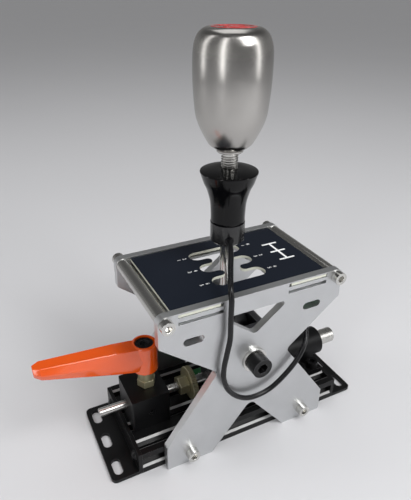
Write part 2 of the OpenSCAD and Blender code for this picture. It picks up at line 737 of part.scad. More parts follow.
// Knob, turned from one bar
inlay_t = 0.6;
inlay_proud = 0.3;
inlay_d = 29;
inlay_w = 2.2;
inlay_step = 6.5;
inlay_run = 14;
module knob_profile() {
  r = knob_d / 2;
  h = knob_h;
  polygon([[0, 0], [r * 0.27, 0], [r * 0.37, h * 0.027], [r * 0.53, h * 0.068], [r * 0.605, h * 0.108],
    [r * 0.76, h * 0.193], [r * 0.87, h * 0.273], [r * 0.925, h * 0.342], [r * 0.957, h * 0.42],
    [r * 0.983, h * 0.512], [r * 0.996, h * 0.6], [r, h * 0.674], [r * 0.998, h * 0.76],
    [r * 0.985, h * 0.83], [r * 0.94, h * 0.894], [r * 0.875, h * 0.94],
    [knob_top_d / 2 + 1.6, h * 0.977], [knob_top_d / 2, h], [0, h]]);
}
module inlay_cut(play) {
  difference() {
    circle(d = inlay_d + 2 * play);
    circle(d = inlay_d - 2 * inlay_w - 2 * play);
  }
  for (y = [-inlay_step, 0, inlay_step])
    translate([0, y]) square([inlay_run + 2 * play, inlay_w + 2 * play], center = true);
  square([inlay_w + 2 * play, 2 * inlay_step + 2 * play], center = true);
}
module gear_knob() color([0.78, 0.77, 0.75]) {
  translate([0, 0, knob_z]) difference() {
    rotate_extrude() knob_profile();
    translate([0, 0, -1]) cylinder(h = stem_top - knob_z + 1 + gap, d = stem_d + 2 * seat_fit);
    translate([0, 0, knob_h - inlay_t]) linear_extrude(1 + inlay_t) inlay_cut(seat_fit);
  }
}
module knob_inlay() color([0.70, 0.06, 0.07]) {
  translate([0, 0, knob_z + knob_h - inlay_t]) linear_extrude(inlay_t + inlay_proud) inlay_cut(0);
}

// Clamp block and what it holds
grub_d = 5;
module clamp_block() color([0.06, 0.06, 0.07]) {
  difference() {
    translate([-block_x, 0, rail_h]) linear_extrude(block_h)
      polygon(rounded(box_outline(block_l, block_w, 1.5)));
    translate([0, 0, rod_z]) along_x(-block_x - block_l, -block_x + block_l, rod_d + 2 * run_fit);
    translate([-clamp_x, 0, rod_z]) cylinder(h = block_h, d = rod_d + 2 * run_fit);
    translate([-block_x, 0, rod_z]) along_y(-block_w, 0, grub_d + 2 * run_fit);
    for (x = block_screw_x, y = [-block_screw_y, block_screw_y])
      translate([-x, y, rail_h - 1]) cylinder(h = 11, d = block_screw_d + 2 * run_fit);
  }
}
module block_screws() color([0.15, 0.15, 0.16]) {
  for (x = block_screw_x, y = [-block_screw_y, block_screw_y])
    translate([-x, y, slot_depth + 0.4]) rotate([180, 0, 0])
      cap_screw(block_screw_d, rail_h - slot_depth + 8, block_screw_d * 1.7, block_screw_d);
}
module block_grub_screw() color([0.20, 0.20, 0.21]) {
  translate([-block_x, 0, rod_z]) difference() {
    along_y(-block_w / 2 + 0.6, -rod_d / 2 - 1, grub_d);
    translate([0, -block_w / 2, 0]) rotate([-90, 0, 0]) cylinder(h = 3.5, d = grub_d * 0.58, $fn = 6);
  }
}
module friction_pad() color([0.72, 0.55, 0.30]) {
  translate([-clamp_x, 0, rod_z]) difference() {
    translate([0, 0, 1]) cylinder(h = pad_top - rod_z - 1, d = rod_d - 0.4);
    along_x(-rod_d, rod_d, rod_d + 2 * run_fit);
  }
}

// Friction rod and what it carries
fork_gap = tip_d / 2 + gap;
fork_w = 22;
fork_z = rod_z - tip_d / 2 - gap;
fork_floor = 5.5;
fork_wall = 4;
fork_boss_d = 22;
fork_half = 16;
rod_seat = 8;
module friction_rod() color([0.76, 0.75, 0.73]) {
  translate([0, 0, rod_z]) {
    along_x(-rod_out, -thread_x, rod_d);
    along_x(-thread_x - eps, -fork_half + rod_seat, thread_d);
  }
}
module lock_nut() color([0.74, 0.70, 0.60]) {
  translate([0, 0, rod_z]) difference() {
    translate([-nut_x, 0, 0]) rotate([0, 90, 0]) cylinder(h = nut_t, d = nut_af / cos(30), $fn = 6);
    along_x(-nut_x - 1, -nut_x + nut_t + 1, thread_d + 2 * seat_fit);
  }
}
knurl_n = 48;
module thumb_wheel() color([0.72, 0.66, 0.48]) {
  translate([-wheel_x, 0, rod_z]) rotate([0, 90, 0]) difference() {
    linear_extrude(wheel_t) polygon([for (i = [0:2 * knurl_n - 1])
      (wheel_d / 2 - (i % 2) * 0.8) * [cos(180 * i / knurl_n), sin(180 * i / knurl_n)]]);
    translate([0, 0, -1]) cylinder(h = wheel_t + 2, d = thread_d + 2 * run_fit);
  }
}
module drive_fork() color([0.30, 0.30, 0.32]) {
  x1 = fork_half;
  x0 = fork_gap + fork_wall;
  difference() {
    union() {
      translate([-x1, -fork_w / 2, fork_z - fork_floor]) cube([2 * x1, fork_w, fork_floor]);
      both_x() {
        translate([fork_gap, -fork_w / 2, fork_z - 1]) cube([x1 - fork_gap, fork_w, tip_d - 1]);
        translate([x0 + 3, -fork_w / 2, fork_z - 1]) cube([x1 - x0 - 3, fork_w, fork_boss_d - 6]);
      }
    }
    translate([0, 0, rod_z]) {
      along_x(-x1 - 1, -fork_half + rod_seat + seat_fit, thread_d + 2 * seat_fit);
      along_x(fork_half - rod_seat - seat_fit, x1 + 1, shaft_d + 2 * seat_fit);
    }
    translate([0, 0, fork_z - fork_floor - 1]) cylinder(h = magnet_t + 1, d = magnet_d + 2 * seat_fit);
  }
}
module fork_magnet() color([0.70, 0.70, 0.72]) {
  translate([0, 0, fork_z - fork_floor]) cylinder(h = magnet_t - seat_fit, d = magnet_d);
}
// The board lies on the rail under the fork, with a wing beside the thumb wheel
shift_board_half = 9;
shift_board_far = 26;
shift_board_end = 28;
shift_wing_l = 14;
wheel_clear = 2.6;
module shift_sensor_board() color([0.08, 0.34, 0.16]) {
  x0 = rod_travel + wheel_clear - wheel_far;
  translate([0, 0, rail_h]) linear_extrude(board_t) polygon([[x0, -shift_board_half],
    [shift_board_end, -shift_board_half], [shift_board_end, shift_board_far],
    [x0 - shift_wing_l, shift_board_far], [x0 - shift_wing_l, shift_board_half], [x0, shift_board_half]]);
}
module bearing_shaft() color([0.76, 0.75, 0.73]) {
  translate([0, 0, rod_z]) along_x(fork_half - rod_seat, shaft_end, shaft_d);
}

// Bearing block
shaft_bush_d = shaft_d + 2 * bush_wall;
module bearing_block() color([0.06, 0.06, 0.07]) {
  difference() {
    union() {
      translate([bearing_x, -bearing_foot_w / 2, rail_h]) cube([bearing_l, bearing_foot_w, bearing_foot_t]);
      translate([bearing_x, -bearing_d / 2, rail_h]) cube([bearing_l, bearing_d, rod_z - rail_h]);
      translate([0, 0, rod_z]) along_x(bearing_x, bearing_x + bearing_l + bearing_collar, bearing_d);
    }
    translate([0, 0, rod_z]) along_x(bearing_x - 1, bearing_x + bearing_l + bearing_collar + 1,
      shaft_bush_d + 2 * seat_fit);
    for (x = bearing_screw_x, y = [-bearing_screw_y, bearing_screw_y]) translate([x, y, rail_h - 1])
      cylinder(h = bearing_foot_t + 2, d = bearing_screw_d + 2 * run_fit);
  }
}
module bearing_block_screws() color([0.16, 0.16, 0.17]) {
  for (x = bearing_screw_x, y = [-bearing_screw_y, bearing_screw_y])
    translate([x, y, rail_h + bearing_foot_t])
      cap_screw(bearing_screw_d, bearing_foot_t + bearing_screw_depth - gap, bearing_screw_d * 1.67,
        bearing_screw_d);
}
module shaft_bush() color([0.72, 0.55, 0.30]) {
  translate([0, 0, rod_z]) difference() {
    along_x(bearing_x, bearing_x + bearing_l + bearing_collar, shaft_bush_d);
    along_x(bearing_x - 1, bearing_x + bearing_l + bearing_collar + 1, shaft_d + 2 * run_fit);
  }
}

// Clamping lever
screw_low = pad_top + gap;
stub_top = web_z - gap;
retain_d = 5;
module clamp_screw() color([0.74, 0.66, 0.45]) {
  translate([-clamp_x, 0, 0]) difference() {
    union() {
      translate([0, 0, screw_low]) cylinder(h = stub_top - screw_low, d = rod_d);
      translate([0, 0, block_top + gap]) cylinder(h = 6, d = 15, $fn = 6);
      translate([0, 0, block_top + gap]) cylinder(h = stub_top - block_top - gap, d = neck_d);
    }
    translate([0, 0, stub_top - 9]) cylinder(h = 10, d = retain_d + 2 * seat_fit);
  }
}
module retaining_screw() color([0.05, 0.05, 0.06]) {
  translate([-clamp_x, 0, cap_z]) cap_screw(retain_d, cap_z - stub_top + 8, screw_head_d - 1, cap_h);
}
module grip_spring() color([0.66, 0.66, 0.68]) {
  z0 = web_z + web_t + gap;
  translate([-clamp_x, 0, z0]) spring("grip_spring", 9, 0.9, 4, cap_z - gap - z0);
}
grip_root_w = 18;
grip_root_h = 20;
grip_end_h = 10;
hub_edge = 1.5;
// Six-sided section of the grip, with a ridge along each side
module grip_section(x, z, w, h) {
  translate([x, 0, z]) run_x(-0.05, 0.05) polygon([[w / 2, 0], [w / 2 - 2, h / 2],
    [-w / 2 + 2, h / 2], [-w / 2, 0], [-w / 2 + 2, -h / 2], [w / 2 - 2, -h / 2]]);
}
module clamping_lever() color([0.95, 0.30, 0.06]) {
  r = grip_hub_d / 2;
  arm_z = grip_z + grip_hub_h / 2;
  rise = tan(grip_rise);
  translate([-clamp_x, 0, 0]) difference() {
    union() {
      translate([0, 0, grip_z]) rotate_extrude() polygon(rounded([[0, 0, 0], [r - 1, 0, 0], [r, 1, 0],
        [r, grip_hub_h - hub_edge, 0], [r - hub_edge, grip_hub_h, 0], [0, grip_hub_h, 0]]));
      hull() {
        grip_section(-4, arm_z, grip_root_w, grip_root_h + 2);
        grip_section(-24, arm_z + 24 * rise, grip_root_w - 1, grip_root_h);
      }
      hull() {
        grip_section(-24, arm_z + 24 * rise, grip_root_w - 1, grip_root_h);
        grip_section(-grip_reach + 5, arm_z + (grip_reach - 5) * rise, grip_end_w, grip_end_h);
        grip_section(-grip_reach, arm_z + grip_reach * rise, grip_end_w - 6, grip_end_h - 2);
      }
    }
    translate([0, 0, grip_z - 1]) cylinder(h = web_z - grip_z + 1, d = neck_d + 2 * run_fit);
    translate([0, 0, grip_z]) cylinder(h = grip_hub_h, d = retain_d + 2 * run_fit);
    translate([0, 0, web_z + web_t]) cylinder(h = grip_hub_h, d = screw_head_d);
  }
}

// Controller board behind the front plate's right shoulder
board_gap = 2;
board_y = -plate_in + board_gap + board_t;
board_mid = [vent_x, vent_z];
module controller_board() color([0.08, 0.34, 0.16]) {
  translate([board_mid[0] - board_l / 2, board_y - board_t, board_mid[1] - board_h / 2])
    cube([board_l, board_t, board_h]);
}
module board_standoffs() color([0.74, 0.70, 0.60]) {
  for (sx = [-1, 1], sz = [-1, 1])
    translate([board_mid[0] + sx * (board_l / 2 - 3.5), 0, board_mid[1] + sz * (board_h / 2 - 3.5)])
      along_y(-plate_in, -plate_in + board_gap, 5);
}
usb_l = 7.4;
usb_h = 9;
usb_t = 3.3;
module usb_socket() color([0.75, 0.75, 0.76]) {
  translate([board_mid[0] + board_l / 2 - usb_l + 1, board_y, board_mid[1] - usb_h / 2]) difference() {
    cube([usb_l, usb_t, usb_h]);
    translate([2, 0.5, 0.5]) cube([usb_l, usb_t - 1, usb_h - 1]);
  }
}
plug_l = 10;
plug_h = 7;
plug_t = 5;
plug_x = 54;
plug_z = board_mid[1] - board_h / 2 - 1;
module cable_plug() color([0.85, 0.84, 0.80]) {
  translate([plug_x - plug_l / 2, board_y, plug_z]) cube([plug_l, plug_t, plug_h]);
}

// The cable leaves the switch housing and crosses the gate, then hangs in front of the front
// plate and turns up through the right notch to the controller board
upper_route = [cable_exit, [-6, -15, 168.5], [-8.6, -20.5, 167.5], [-11.5, -26.5, 164.5],
  [-15, -32.5, 161], [-18, -38, 158], [-21, -43.5, 155.5], [-23.5, -48.5, 152], [-24, -51, 146],
  [-24, -51, 137]];
lower_route = [[-24, -51, 137], [-24, -51, 126], [-24, -51, 114], [-26, -51, 102], [-28, -51, 90],
  [-28, -51, 79], [-24, -51, 67], [-16, -51, 57], [-6, -51, 51], [5, -51, 50], [16, -51, 53],
  [26, -51, 60], [35, -51, 69], [42, -50, 78], [48, -46, 85], [52, -40, 90], [54, -35, 94],
  [54, -33.9, 98.5], [54, -33.9, 104]];
module upper_cable() color([0.06, 0.06, 0.07]) tube(upper_route, cable_d, 8, [1, 0, 0]);
module lower_cable() color([0.06, 0.06, 0.07]) tube(lower_route, cable_d, 8, [1, 0, 0]);

base_rail();
left_foot_bracket();
right_foot_bracket();
foot_bracket_screws();
front_side_plate();
rear_side_plate();
rail_bolts();
rail_t_nuts();
left_corner_tube();
right_corner_tube();
corner_bolts();
gate_plate();
gate_film();
guide_plate();
pivot_bushes();
controller_board();
board_standoffs();
usb_socket();
cable_plug();
shift_sensor_board();
clamp_block();
block_screws();
block_grub_screw();
bearing_block();
bearing_block_screws();
shaft_bush();
pivot_bolts();
thrust_washers();
gimbal_yoke();
cross_pin();
select_sensor_board();
lever_hub();
hub_bushes();
front_centring_spring();
rear_centring_spring();
tail_magnet();
lever_stem();
switch_housing();
lift_switch();
cable_gland();
spring_collar();
ring_spring();
gear_knob();
knob_inlay();
lift_ring();
friction_rod();
friction_pad();
lock_nut();
drive_fork();
fork_magnet();
bearing_shaft();
thumb_wheel();
clamp_screw();
retaining_screw();
grip_spring();
clamping_lever();
upper_cable();
lower_cable();
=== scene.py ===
import json
import math
import bmesh
import bpy
from mathutils import Matrix, Vector
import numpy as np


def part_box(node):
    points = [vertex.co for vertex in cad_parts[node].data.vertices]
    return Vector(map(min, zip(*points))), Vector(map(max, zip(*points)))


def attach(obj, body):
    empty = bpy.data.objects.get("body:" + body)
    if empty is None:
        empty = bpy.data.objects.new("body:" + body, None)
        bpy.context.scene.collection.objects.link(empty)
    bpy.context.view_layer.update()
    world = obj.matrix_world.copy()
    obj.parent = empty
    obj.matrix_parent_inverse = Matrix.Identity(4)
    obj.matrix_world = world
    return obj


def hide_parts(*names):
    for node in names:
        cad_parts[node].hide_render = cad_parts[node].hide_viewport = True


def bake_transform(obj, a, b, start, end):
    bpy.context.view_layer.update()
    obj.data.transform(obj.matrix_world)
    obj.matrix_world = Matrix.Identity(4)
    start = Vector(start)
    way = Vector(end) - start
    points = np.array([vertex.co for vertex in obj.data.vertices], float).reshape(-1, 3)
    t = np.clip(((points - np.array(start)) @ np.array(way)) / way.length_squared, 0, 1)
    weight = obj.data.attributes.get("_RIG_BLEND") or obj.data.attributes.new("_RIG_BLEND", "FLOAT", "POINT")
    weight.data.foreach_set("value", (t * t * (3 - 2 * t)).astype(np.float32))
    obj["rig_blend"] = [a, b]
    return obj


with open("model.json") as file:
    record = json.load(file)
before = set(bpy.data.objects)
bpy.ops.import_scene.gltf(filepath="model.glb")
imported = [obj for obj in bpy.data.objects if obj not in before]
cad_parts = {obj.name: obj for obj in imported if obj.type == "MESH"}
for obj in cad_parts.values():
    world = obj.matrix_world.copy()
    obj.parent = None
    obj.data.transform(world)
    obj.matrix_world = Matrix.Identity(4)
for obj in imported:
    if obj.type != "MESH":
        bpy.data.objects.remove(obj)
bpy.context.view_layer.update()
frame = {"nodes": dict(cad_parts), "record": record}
scene = bpy.context.scene
scene.view_settings.view_transform = "Standard"
mm = 0.001
bodyOf = {node: body for body, nodes in frame["record"]["behaviour"]["bodies"].items() for node in nodes}
slotOf = {part["node"]: part["material_slot"] for part in frame["record"]["subparts"]}
print("frame loaded with", len(frame["nodes"]), "nodes")

# camera at the photograph's angle
cameraLook = {
    "azimuth": -27.00,  # degrees, 0 looks along +Y
    "elevation": 28.25,
    "roll": 0.56,
    "lens": 35.79,  # mm
    "sensor": 36.0,  # mm on the long side
    "place": (-0.1651, -0.2887, 0.3326),
    "nearest": 0.01,  # what is closer isn't drawn, m
}


def placeCamera(look):
    az, el = (math.radians(look[key]) for key in ("azimuth", "elevation"))
    back = Vector((math.sin(az) * math.cos(el), -math.cos(az) * math.cos(el), math.sin(el)))
    right = Vector((0, 0, 1)).cross(back).normalized()
    turn = Matrix((right, back.cross(right), back)).transposed()
    turn = turn @ Matrix.Rotation(math.radians(look["roll"]), 3, "Z")
    data = bpy.data.cameras.new("photo_camera")
    data.lens = look["lens"]
    data.sensor_width = look["sensor"]
    data.clip_start = look["nearest"]
    camera = bpy.data.objects.new("photo_camera", data)
    camera.matrix_world = Matrix.Translation(look["place"]) @ turn.to_4x4()
    scene.collection.objects.link(camera)
    scene.camera = camera


placeCamera(cameraLook)
print("camera placed")


# shader maths: a socket that takes part in sums, and one way to add any node
class Wire:
    def __init__(self, tree, socket=None):
        self.tree = tree
        self.socket = socket

    def node(self, kind, settings=None, inputs=None, out=0):
        made = self.tree.nodes.new("ShaderNode" + kind)
        for name, value in (settings or {}).items():
            setattr(made, name, value)
        for name, value in (inputs or {}).items():
            if isinstance(value, Wire):
                self.tree.links.new(value.socket, made.inputs[name])
            else:
                made.inputs[name].default_value = value
        return Wire(self.tree, made.outputs[out] if made.outputs else None)

    def sum(self, operation, first, second):
        return self.node("Math", {"operation": operation}, {0: first, 1: second})

    def __add__(self, other):
        return self.sum("ADD", self, other)

    def __radd__(self, other):
        return self.sum("ADD", other, self)

    def __sub__(self, other):
        return self.sum("SUBTRACT", self, other)

    def __rsub__(self, other):
        return self.sum("SUBTRACT", other, self)

    def __mul__(self, other):
        return self.sum("MULTIPLY", self, other)

    def __rmul__(self, other):
        return self.sum("MULTIPLY", other, self)


def shown(red, green, blue):
    # display colour to the linear value that shaders take
    linear = (((c + 0.055) / 1.055) ** 2.4 if c > 0.04 else c / 12.92 for c in (red, green, blue))
    return (*linear, 1.0)


def startFinish(name):
    material = bpy.data.materials.new(name)
    material.use_nodes = True
    material.node_tree.nodes.clear()
    wire = Wire(material.node_tree)
    return material, wire, wire.node("TexCoord", out="Object")


def grain(wire, where, scale, detail=2.0):
    # noise with its own scale along each axis, in cells per metre
    placed = wire.node("Mapping", {}, {"Vector": where, "Scale": scale})
    return wire.node("TexNoise", {}, {"Vector": placed, "Scale": 1.0, "Detail": detail})


def mixed(wire, factor, first, second):
    return wire.node("Mix", {"data_type": "RGBA"}, {0: factor, 6: first, 7: second}, out=2)


def closeFinish(wire, inputs):
    shader = wire.node("BsdfPrincipled", {}, inputs)
    wire.node("OutputMaterial", {}, {"Surface": shader})


finishes = {}
noiseMiddle = 0.5
bumpStrength = 0.35

# metals: display colours of the face and of worn edges (on the base rail also the painted highlight of its
# slot mouths), roughness and its spread, cells of grain per metre, depth of the grain in mm, share of the
# edge that is worn
metalLooks = {
    "plate_silver": dict(colour=(0.83, 0.835, 0.84), edge=(0.95, 0.95, 0.95), rough=0.40, spread=0.10,
                         cells=(3500, 3500, 3500), depth=0.012, wear=0.5, metallic=1.0, shine=0.5),
    "yoke_metal": dict(colour=(0.40, 0.40, 0.41), edge=(0.70, 0.70, 0.70), rough=0.36, spread=0.12,
                       cells=(300, 4000, 300), depth=0.010, wear=0.5, metallic=1.0, shine=0.5),
    "fork_grey": dict(colour=(0.20, 0.20, 0.21), edge=(0.45, 0.45, 0.46), rough=0.40, spread=0.10,
                      cells=(300, 3000, 300), depth=0.010, wear=0.5, metallic=0.3, shine=0.3),
    "knob_metal": dict(colour=(0.74, 0.73, 0.715), edge=(0.86, 0.85, 0.83), rough=0.23, spread=0.06,
                       cells=(40, 40, 6000), depth=0.005, wear=0.0, metallic=1.0, shine=0.5, brushed=0.7),
    "stainless": dict(colour=(0.83, 0.825, 0.81), edge=(0.95, 0.945, 0.93), rough=0.20, spread=0.05,
                      cells=(60, 2500, 60), depth=0.0005, wear=0.4, metallic=1.0, shine=0.5),
    "plain_steel": dict(colour=(0.82, 0.815, 0.80), edge=(0.95, 0.945, 0.935), rough=0.28, spread=0.05,
                        cells=(2500, 60, 60), depth=0.0005, wear=0.4, metallic=1.0, shine=0.5),
    "spring_steel": dict(colour=(0.72, 0.72, 0.73), edge=(0.85, 0.85, 0.85), rough=0.26, spread=0.10,
                         cells=(900, 900, 900), depth=0.006, wear=0.0, metallic=1.0, shine=0.5),
    "magnet": dict(colour=(0.88, 0.88, 0.89), edge=(0.95, 0.95, 0.95), rough=0.14, spread=0.06,
                   cells=(900, 900, 900), depth=0.004, wear=0.3, metallic=1.0, shine=0.5),
    "brass": dict(colour=(0.80, 0.65, 0.38), edge=(0.93, 0.82, 0.57), rough=0.26, spread=0.12,
                  cells=(3000, 300, 300), depth=0.008, wear=0.4, metallic=1.0, shine=0.5),
    # zinc_yellow is set darker than bright zinc plating, part way to the thumb wheel's shadowed tone: partly
    # painted shade
    "zinc_yellow": dict(colour=(0.68, 0.655, 0.53), edge=(0.90, 0.88, 0.76), rough=0.34, spread=0.14,
                        cells=(1500, 1500, 1500), depth=0.008, wear=0.6, metallic=0.7, shine=0.5),
    # its bright edge colour is wear on the bevels and a painted highlight on the slots' mouths
    "rail_black": dict(colour=(0.065, 0.065, 0.07), edge=(0.80, 0.80, 0.80), rough=0.34, spread=0.12,
                       cells=(80, 2500, 2500), depth=0.010, wear=0.9, metallic=0.1, shine=0.22),
    "block_black": dict(colour=(0.05, 0.05, 0.055), edge=(0.62, 0.62, 0.62), rough=0.36, spread=0.12,
                        cells=(1800, 1800, 1800), depth=0.010, wear=0.6, metallic=0.0, shine=0.2),
    "foot_black": dict(colour=(0.055, 0.055, 0.06), edge=(0.24, 0.24, 0.25), rough=0.40, spread=0.14,
                       cells=(1600, 1600, 1600), depth=0.030, wear=0.4, metallic=0.0, shine=0.25),
    "black_steel": dict(colour=(0.055, 0.055, 0.06), edge=(0.40, 0.40, 0.41), rough=0.28, spread=0.12,
                        cells=(2200, 2200, 2200), depth=0.008, wear=0.5, metallic=0.1, shine=0.3),
}

metalMarks = {
    "cells": (45, 45, 45),  # handling marks some 20 mm across
    "detail": 3.0,
    "darkest": 0.93,  # share of the colour
    "evenWear": 0.5,  # share of the wear that is the same all along an edge
    "spread": 0.6,  # share of the roughness spread
    "edgePolish": 0.06,
}


def bumped(wire, height, depth):
    return wire.node("Bump", {}, {"Strength": bumpStrength, "Distance": depth * mm, "Height": height})


def metalFinish(name, look):
    material, wire, where = startFinish(name)
    fine = grain(wire, where, look["cells"], metalMarks["detail"])
    marks = grain(wire, where, metalMarks["cells"], metalMarks["detail"])
    edge = wire.node("Attribute", {"attribute_name": "edge"}, out="Fac")
    dark = shown(*(metalMarks["darkest"] * c for c in look["colour"]))
    colour = mixed(wire, marks, dark, shown(*look["colour"]))
    even = metalMarks["evenWear"]
    # bevels get wear; the base rail's slot mouths get a painted highlight in the same edge colour
    wearAndGlint = edge * (look["wear"] * even + (1 - even) * look["wear"] * marks)
    colour = mixed(wire, wearAndGlint, colour, shown(*look["edge"]))
    rough = look["rough"] + (fine - noiseMiddle) * look["spread"]
    rough = rough + (marks - noiseMiddle) * (metalMarks["spread"] * look["spread"])
    rough = rough - edge * metalMarks["edgePolish"]
    closeFinish(wire, {"Base Color": colour, "Roughness": rough, "Metallic": look["metallic"],
                       "Specular IOR Level": look["shine"], "Anisotropic": look.get("brushed", 0.0),
                       "Normal": bumped(wire, fine, look["depth"])})
    return material


# plastics, print and rubber: display colours of the two ends of the mottle, the rest as for the metals,
# and a coat
plasticLooks = {
    "gate_laminate": dict(colour=(0.80, 0.81, 0.75), other=(0.90, 0.90, 0.85), rough=0.55, spread=0.12,
                          cells=(1200, 1200, 5000), depth=0.020, shine=0.3, coat=0.0),
    "film_navy": dict(colour=(0.085, 0.105, 0.145), other=(0.11, 0.13, 0.17), rough=0.50, spread=0.08,
                      cells=(2500, 2500, 2500), depth=0.006, shine=0.10, coat=0.0),
    "board_green": dict(colour=(0.05, 0.36, 0.17), other=(0.08, 0.46, 0.22), rough=0.30, spread=0.08,
                        cells=(700, 700, 700), depth=0.008, shine=0.5, coat=0.3),
    "plug_ivory": dict(colour=(0.90, 0.89, 0.83), other=(0.94, 0.93, 0.88), rough=0.42, spread=0.08,
                       cells=(900, 900, 900), depth=0.008, shine=0.5, coat=0.0),
    "housing_black": dict(colour=(0.085, 0.085, 0.09), other=(0.105, 0.105, 0.11), rough=0.20, spread=0.08,
                          cells=(60, 60, 3500), depth=0.006, shine=0.5, coat=0.2),
    "ring_black": dict(colour=(0.03, 0.03, 0.034), other=(0.045, 0.045, 0.05), rough=0.15, spread=0.07,
                       cells=(60, 60, 2500), depth=0.004, shine=0.18, coat=0.1),
    "inlay_red": dict(colour=(0.72, 0.10, 0.11), other=(0.82, 0.15, 0.15), rough=0.20, spread=0.06,
                      cells=(800, 800, 800), depth=0.004, shine=0.5, coat=0.6),
    "grip_orange": dict(colour=(0.90, 0.31, 0.03), other=(0.94, 0.37, 0.05), rough=0.12, spread=0.04,
                        cells=(2200, 2200, 2200), depth=0.004, shine=0.9, coat=0.3),
    "cable_black": dict(colour=(0.05, 0.05, 0.06), other=(0.075, 0.075, 0.085), rough=0.28, spread=0.10,
                        cells=(1400, 1400, 1400), depth=0.012, shine=0.35, coat=0.0),
    "white_print": dict(colour=(0.94, 0.95, 0.95), other=(0.98, 0.98, 0.98), rough=0.40, spread=0.06,
                        cells=(2500, 2500, 2500), depth=0.004, shine=0.3, coat=0.0),
    "chip_black": dict(colour=(0.10, 0.10, 0.105), other=(0.15, 0.15, 0.155), rough=0.45, spread=0.10,
                       cells=(2500, 2500, 2500), depth=0.010, shine=0.4, coat=0.0),
    "solder_tin": dict(colour=(0.86, 0.87, 0.87), other=(0.95, 0.95, 0.95), rough=0.30, spread=0.10,
                       cells=(1500, 1500, 1500), depth=0.010, shine=0.8, coat=0.0),
}

plasticMottle = {
    "cells": (60, 60, 60),
    "detail": 3.0,
    "grainDetail": 2.0,
    "share": 0.7,  # of the colour; the grain has the rest
    "coatRough": 0.08,
}


def plasticFinish(name, look):
    material, wire, where = startFinish(name)
    fine = grain(wire, where, look["cells"], plasticMottle["grainDetail"])
    mottle = grain(wire, where, plasticMottle["cells"], plasticMottle["detail"])
    share = plasticMottle["share"]
    tint = share * mottle + (1 - share) * fine
    colour = mixed(wire, tint, shown(*look["colour"]), shown(*look["other"]))
    rough = look["rough"] + (fine - noiseMiddle) * look["spread"] + (mottle - noiseMiddle) * look["spread"]
    closeFinish(wire, {"Base Color": colour, "Roughness": rough, "Specular IOR Level": look["shine"],
                       "Coat Weight": look["coat"], "Coat Roughness": plasticMottle["coatRough"],
                       "Normal": bumped(wire, fine, look["depth"])})
    return material


for slotName, slotLook in metalLooks.items():
    finishes[slotName] = metalFinish(slotName, slotLook)
for slotName, slotLook in plasticLooks.items():
    finishes[slotName] = plasticFinish(slotName, slotLook)
print("finishes made:", len(finishes))


# making and placing pieces
meshLook = {
    "copyMerge": 0.004,  # mm between corners of a node that are one
    "copyFlat": 0.5,  # degrees between triangles of one flat face
    "latheMerge": 0.002,  # mm
}


def finishPiece(name, mesh, slot, body=None, replaced=(), sharp=32):
    mesh.materials.clear()
    mesh.materials.append(finishes[slot])
    mesh.shade_smooth()
    mesh.set_sharp_from_angle(angle=math.radians(sharp))  # from which an edge stays crisp
    piece = bpy.data.objects.new(name, mesh)
    scene.collection.objects.link(piece)
    if body:
        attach(piece, body)
    slot in slotOf.values()
    if replaced:
        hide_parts(*replaced)
    return piece


def meshOf(bm, name):
    mesh = bpy.data.meshes.new(name)
    bm.to_mesh(mesh)
    bm.free()
    return mesh


def nodeCopy(node):
    # the node's triangles, merged, with its flat faces made whole again
    bm = bmesh.new()
    bm.from_mesh(frame["nodes"][node].data)
    bmesh.ops.remove_doubles(bm, verts=bm.verts, dist=meshLook["copyMerge"] * mm)
    flat = math.radians(meshLook["copyFlat"])
    bmesh.ops.dissolve_limit(bm, angle_limit=flat, verts=bm.verts, edges=bm.edges)
    return bm


def roundEdges(bm, width, segments=2, angle=28):
    wearAndGlint = bm.faces.layers.float.new("edge")
    sharp = [e for e in bm.edges if e.is_manifold and e.calc_face_angle() > math.radians(angle)]
    made = bmesh.ops.bevel(bm, geom=sharp, offset=width * mm, offset_type="OFFSET", segments=segments,
                           profile=0.5, affect="EDGES", material=-1, clamp_overlap=True)
    for face in made["faces"]:
        face[wearAndGlint] = 1.0


def evenNormals(piece):
    weighted = piece.modifiers.new("even normals", "WEIGHTED_NORMAL")
    weighted.keep_sharp = True


def paintLipGlint(bm, low, high, depth=2 * mm, slack=0.02):
    # the slots' 45° bevelled mouths get the bright edge colour: a painted highlight for the glint they catch
    wearAndGlint = bm.faces.layers.float["edge"]
    for face in bm.faces:
        slant = abs(abs(face.normal.y) - abs(face.normal.z)) < slack and abs(face.normal.x) < slack
        middle = face.calc_center_median()
        shallow = min(middle.y - low.y, high.y - middle.y, middle.z - low.z, high.z - middle.z) < depth
        if slant and shallow:
            face[wearAndGlint] = 1.0


def dressNode(node, width):
    bm = nodeCopy(node)
    roundEdges(bm, width)
    # painted highlight along the base rail's slot mouths
    if node == "base_rail":
        paintLipGlint(bm, *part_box(node))
    piece = finishPiece(node + "_finished", meshOf(bm, node), slotOf[node], bodyOf[node], [node])
    evenNormals(piece)
    return piece


def smoothLine(points, steps):
    # a smooth line through the points, straight out at its ends
    points = [Vector(p) for p in points]
    padded = [2 * points[0] - points[1], *points, 2 * points[-1] - points[-2]]
    line = []
    for a, b, c, d in zip(padded, padded[1:], padded[2:], padded[3:]):
        for i in range(steps):
            t = i / steps
            line.append(0.5 * (2 * b + (c - a) * t + (2 * a - 5 * b + 4 * c - d) * t ** 2
                               + (3 * b - a - 3 * c + d) * t ** 3))
    return line + [points[-1]]


def tubeAlong(name, line, diameter, fine=6):
    curve = bpy.data.curves.new(name, "CURVE")
    curve.dimensions = "3D"
    curve.bevel_depth = diameter / 2
    curve.bevel_resolution = fine
    curve.use_fill_caps = True
    spline = curve.splines.new("POLY")
    spline.points.add(len(line) - 1)
    for point, place in zip(spline.points, line):
        point.co = (*place, 1.0)
    holder = bpy.data.objects.new(name, curve)
    mesh = bpy.data.meshes.new_from_object(holder)
    bpy.data.objects.remove(holder)
    return mesh


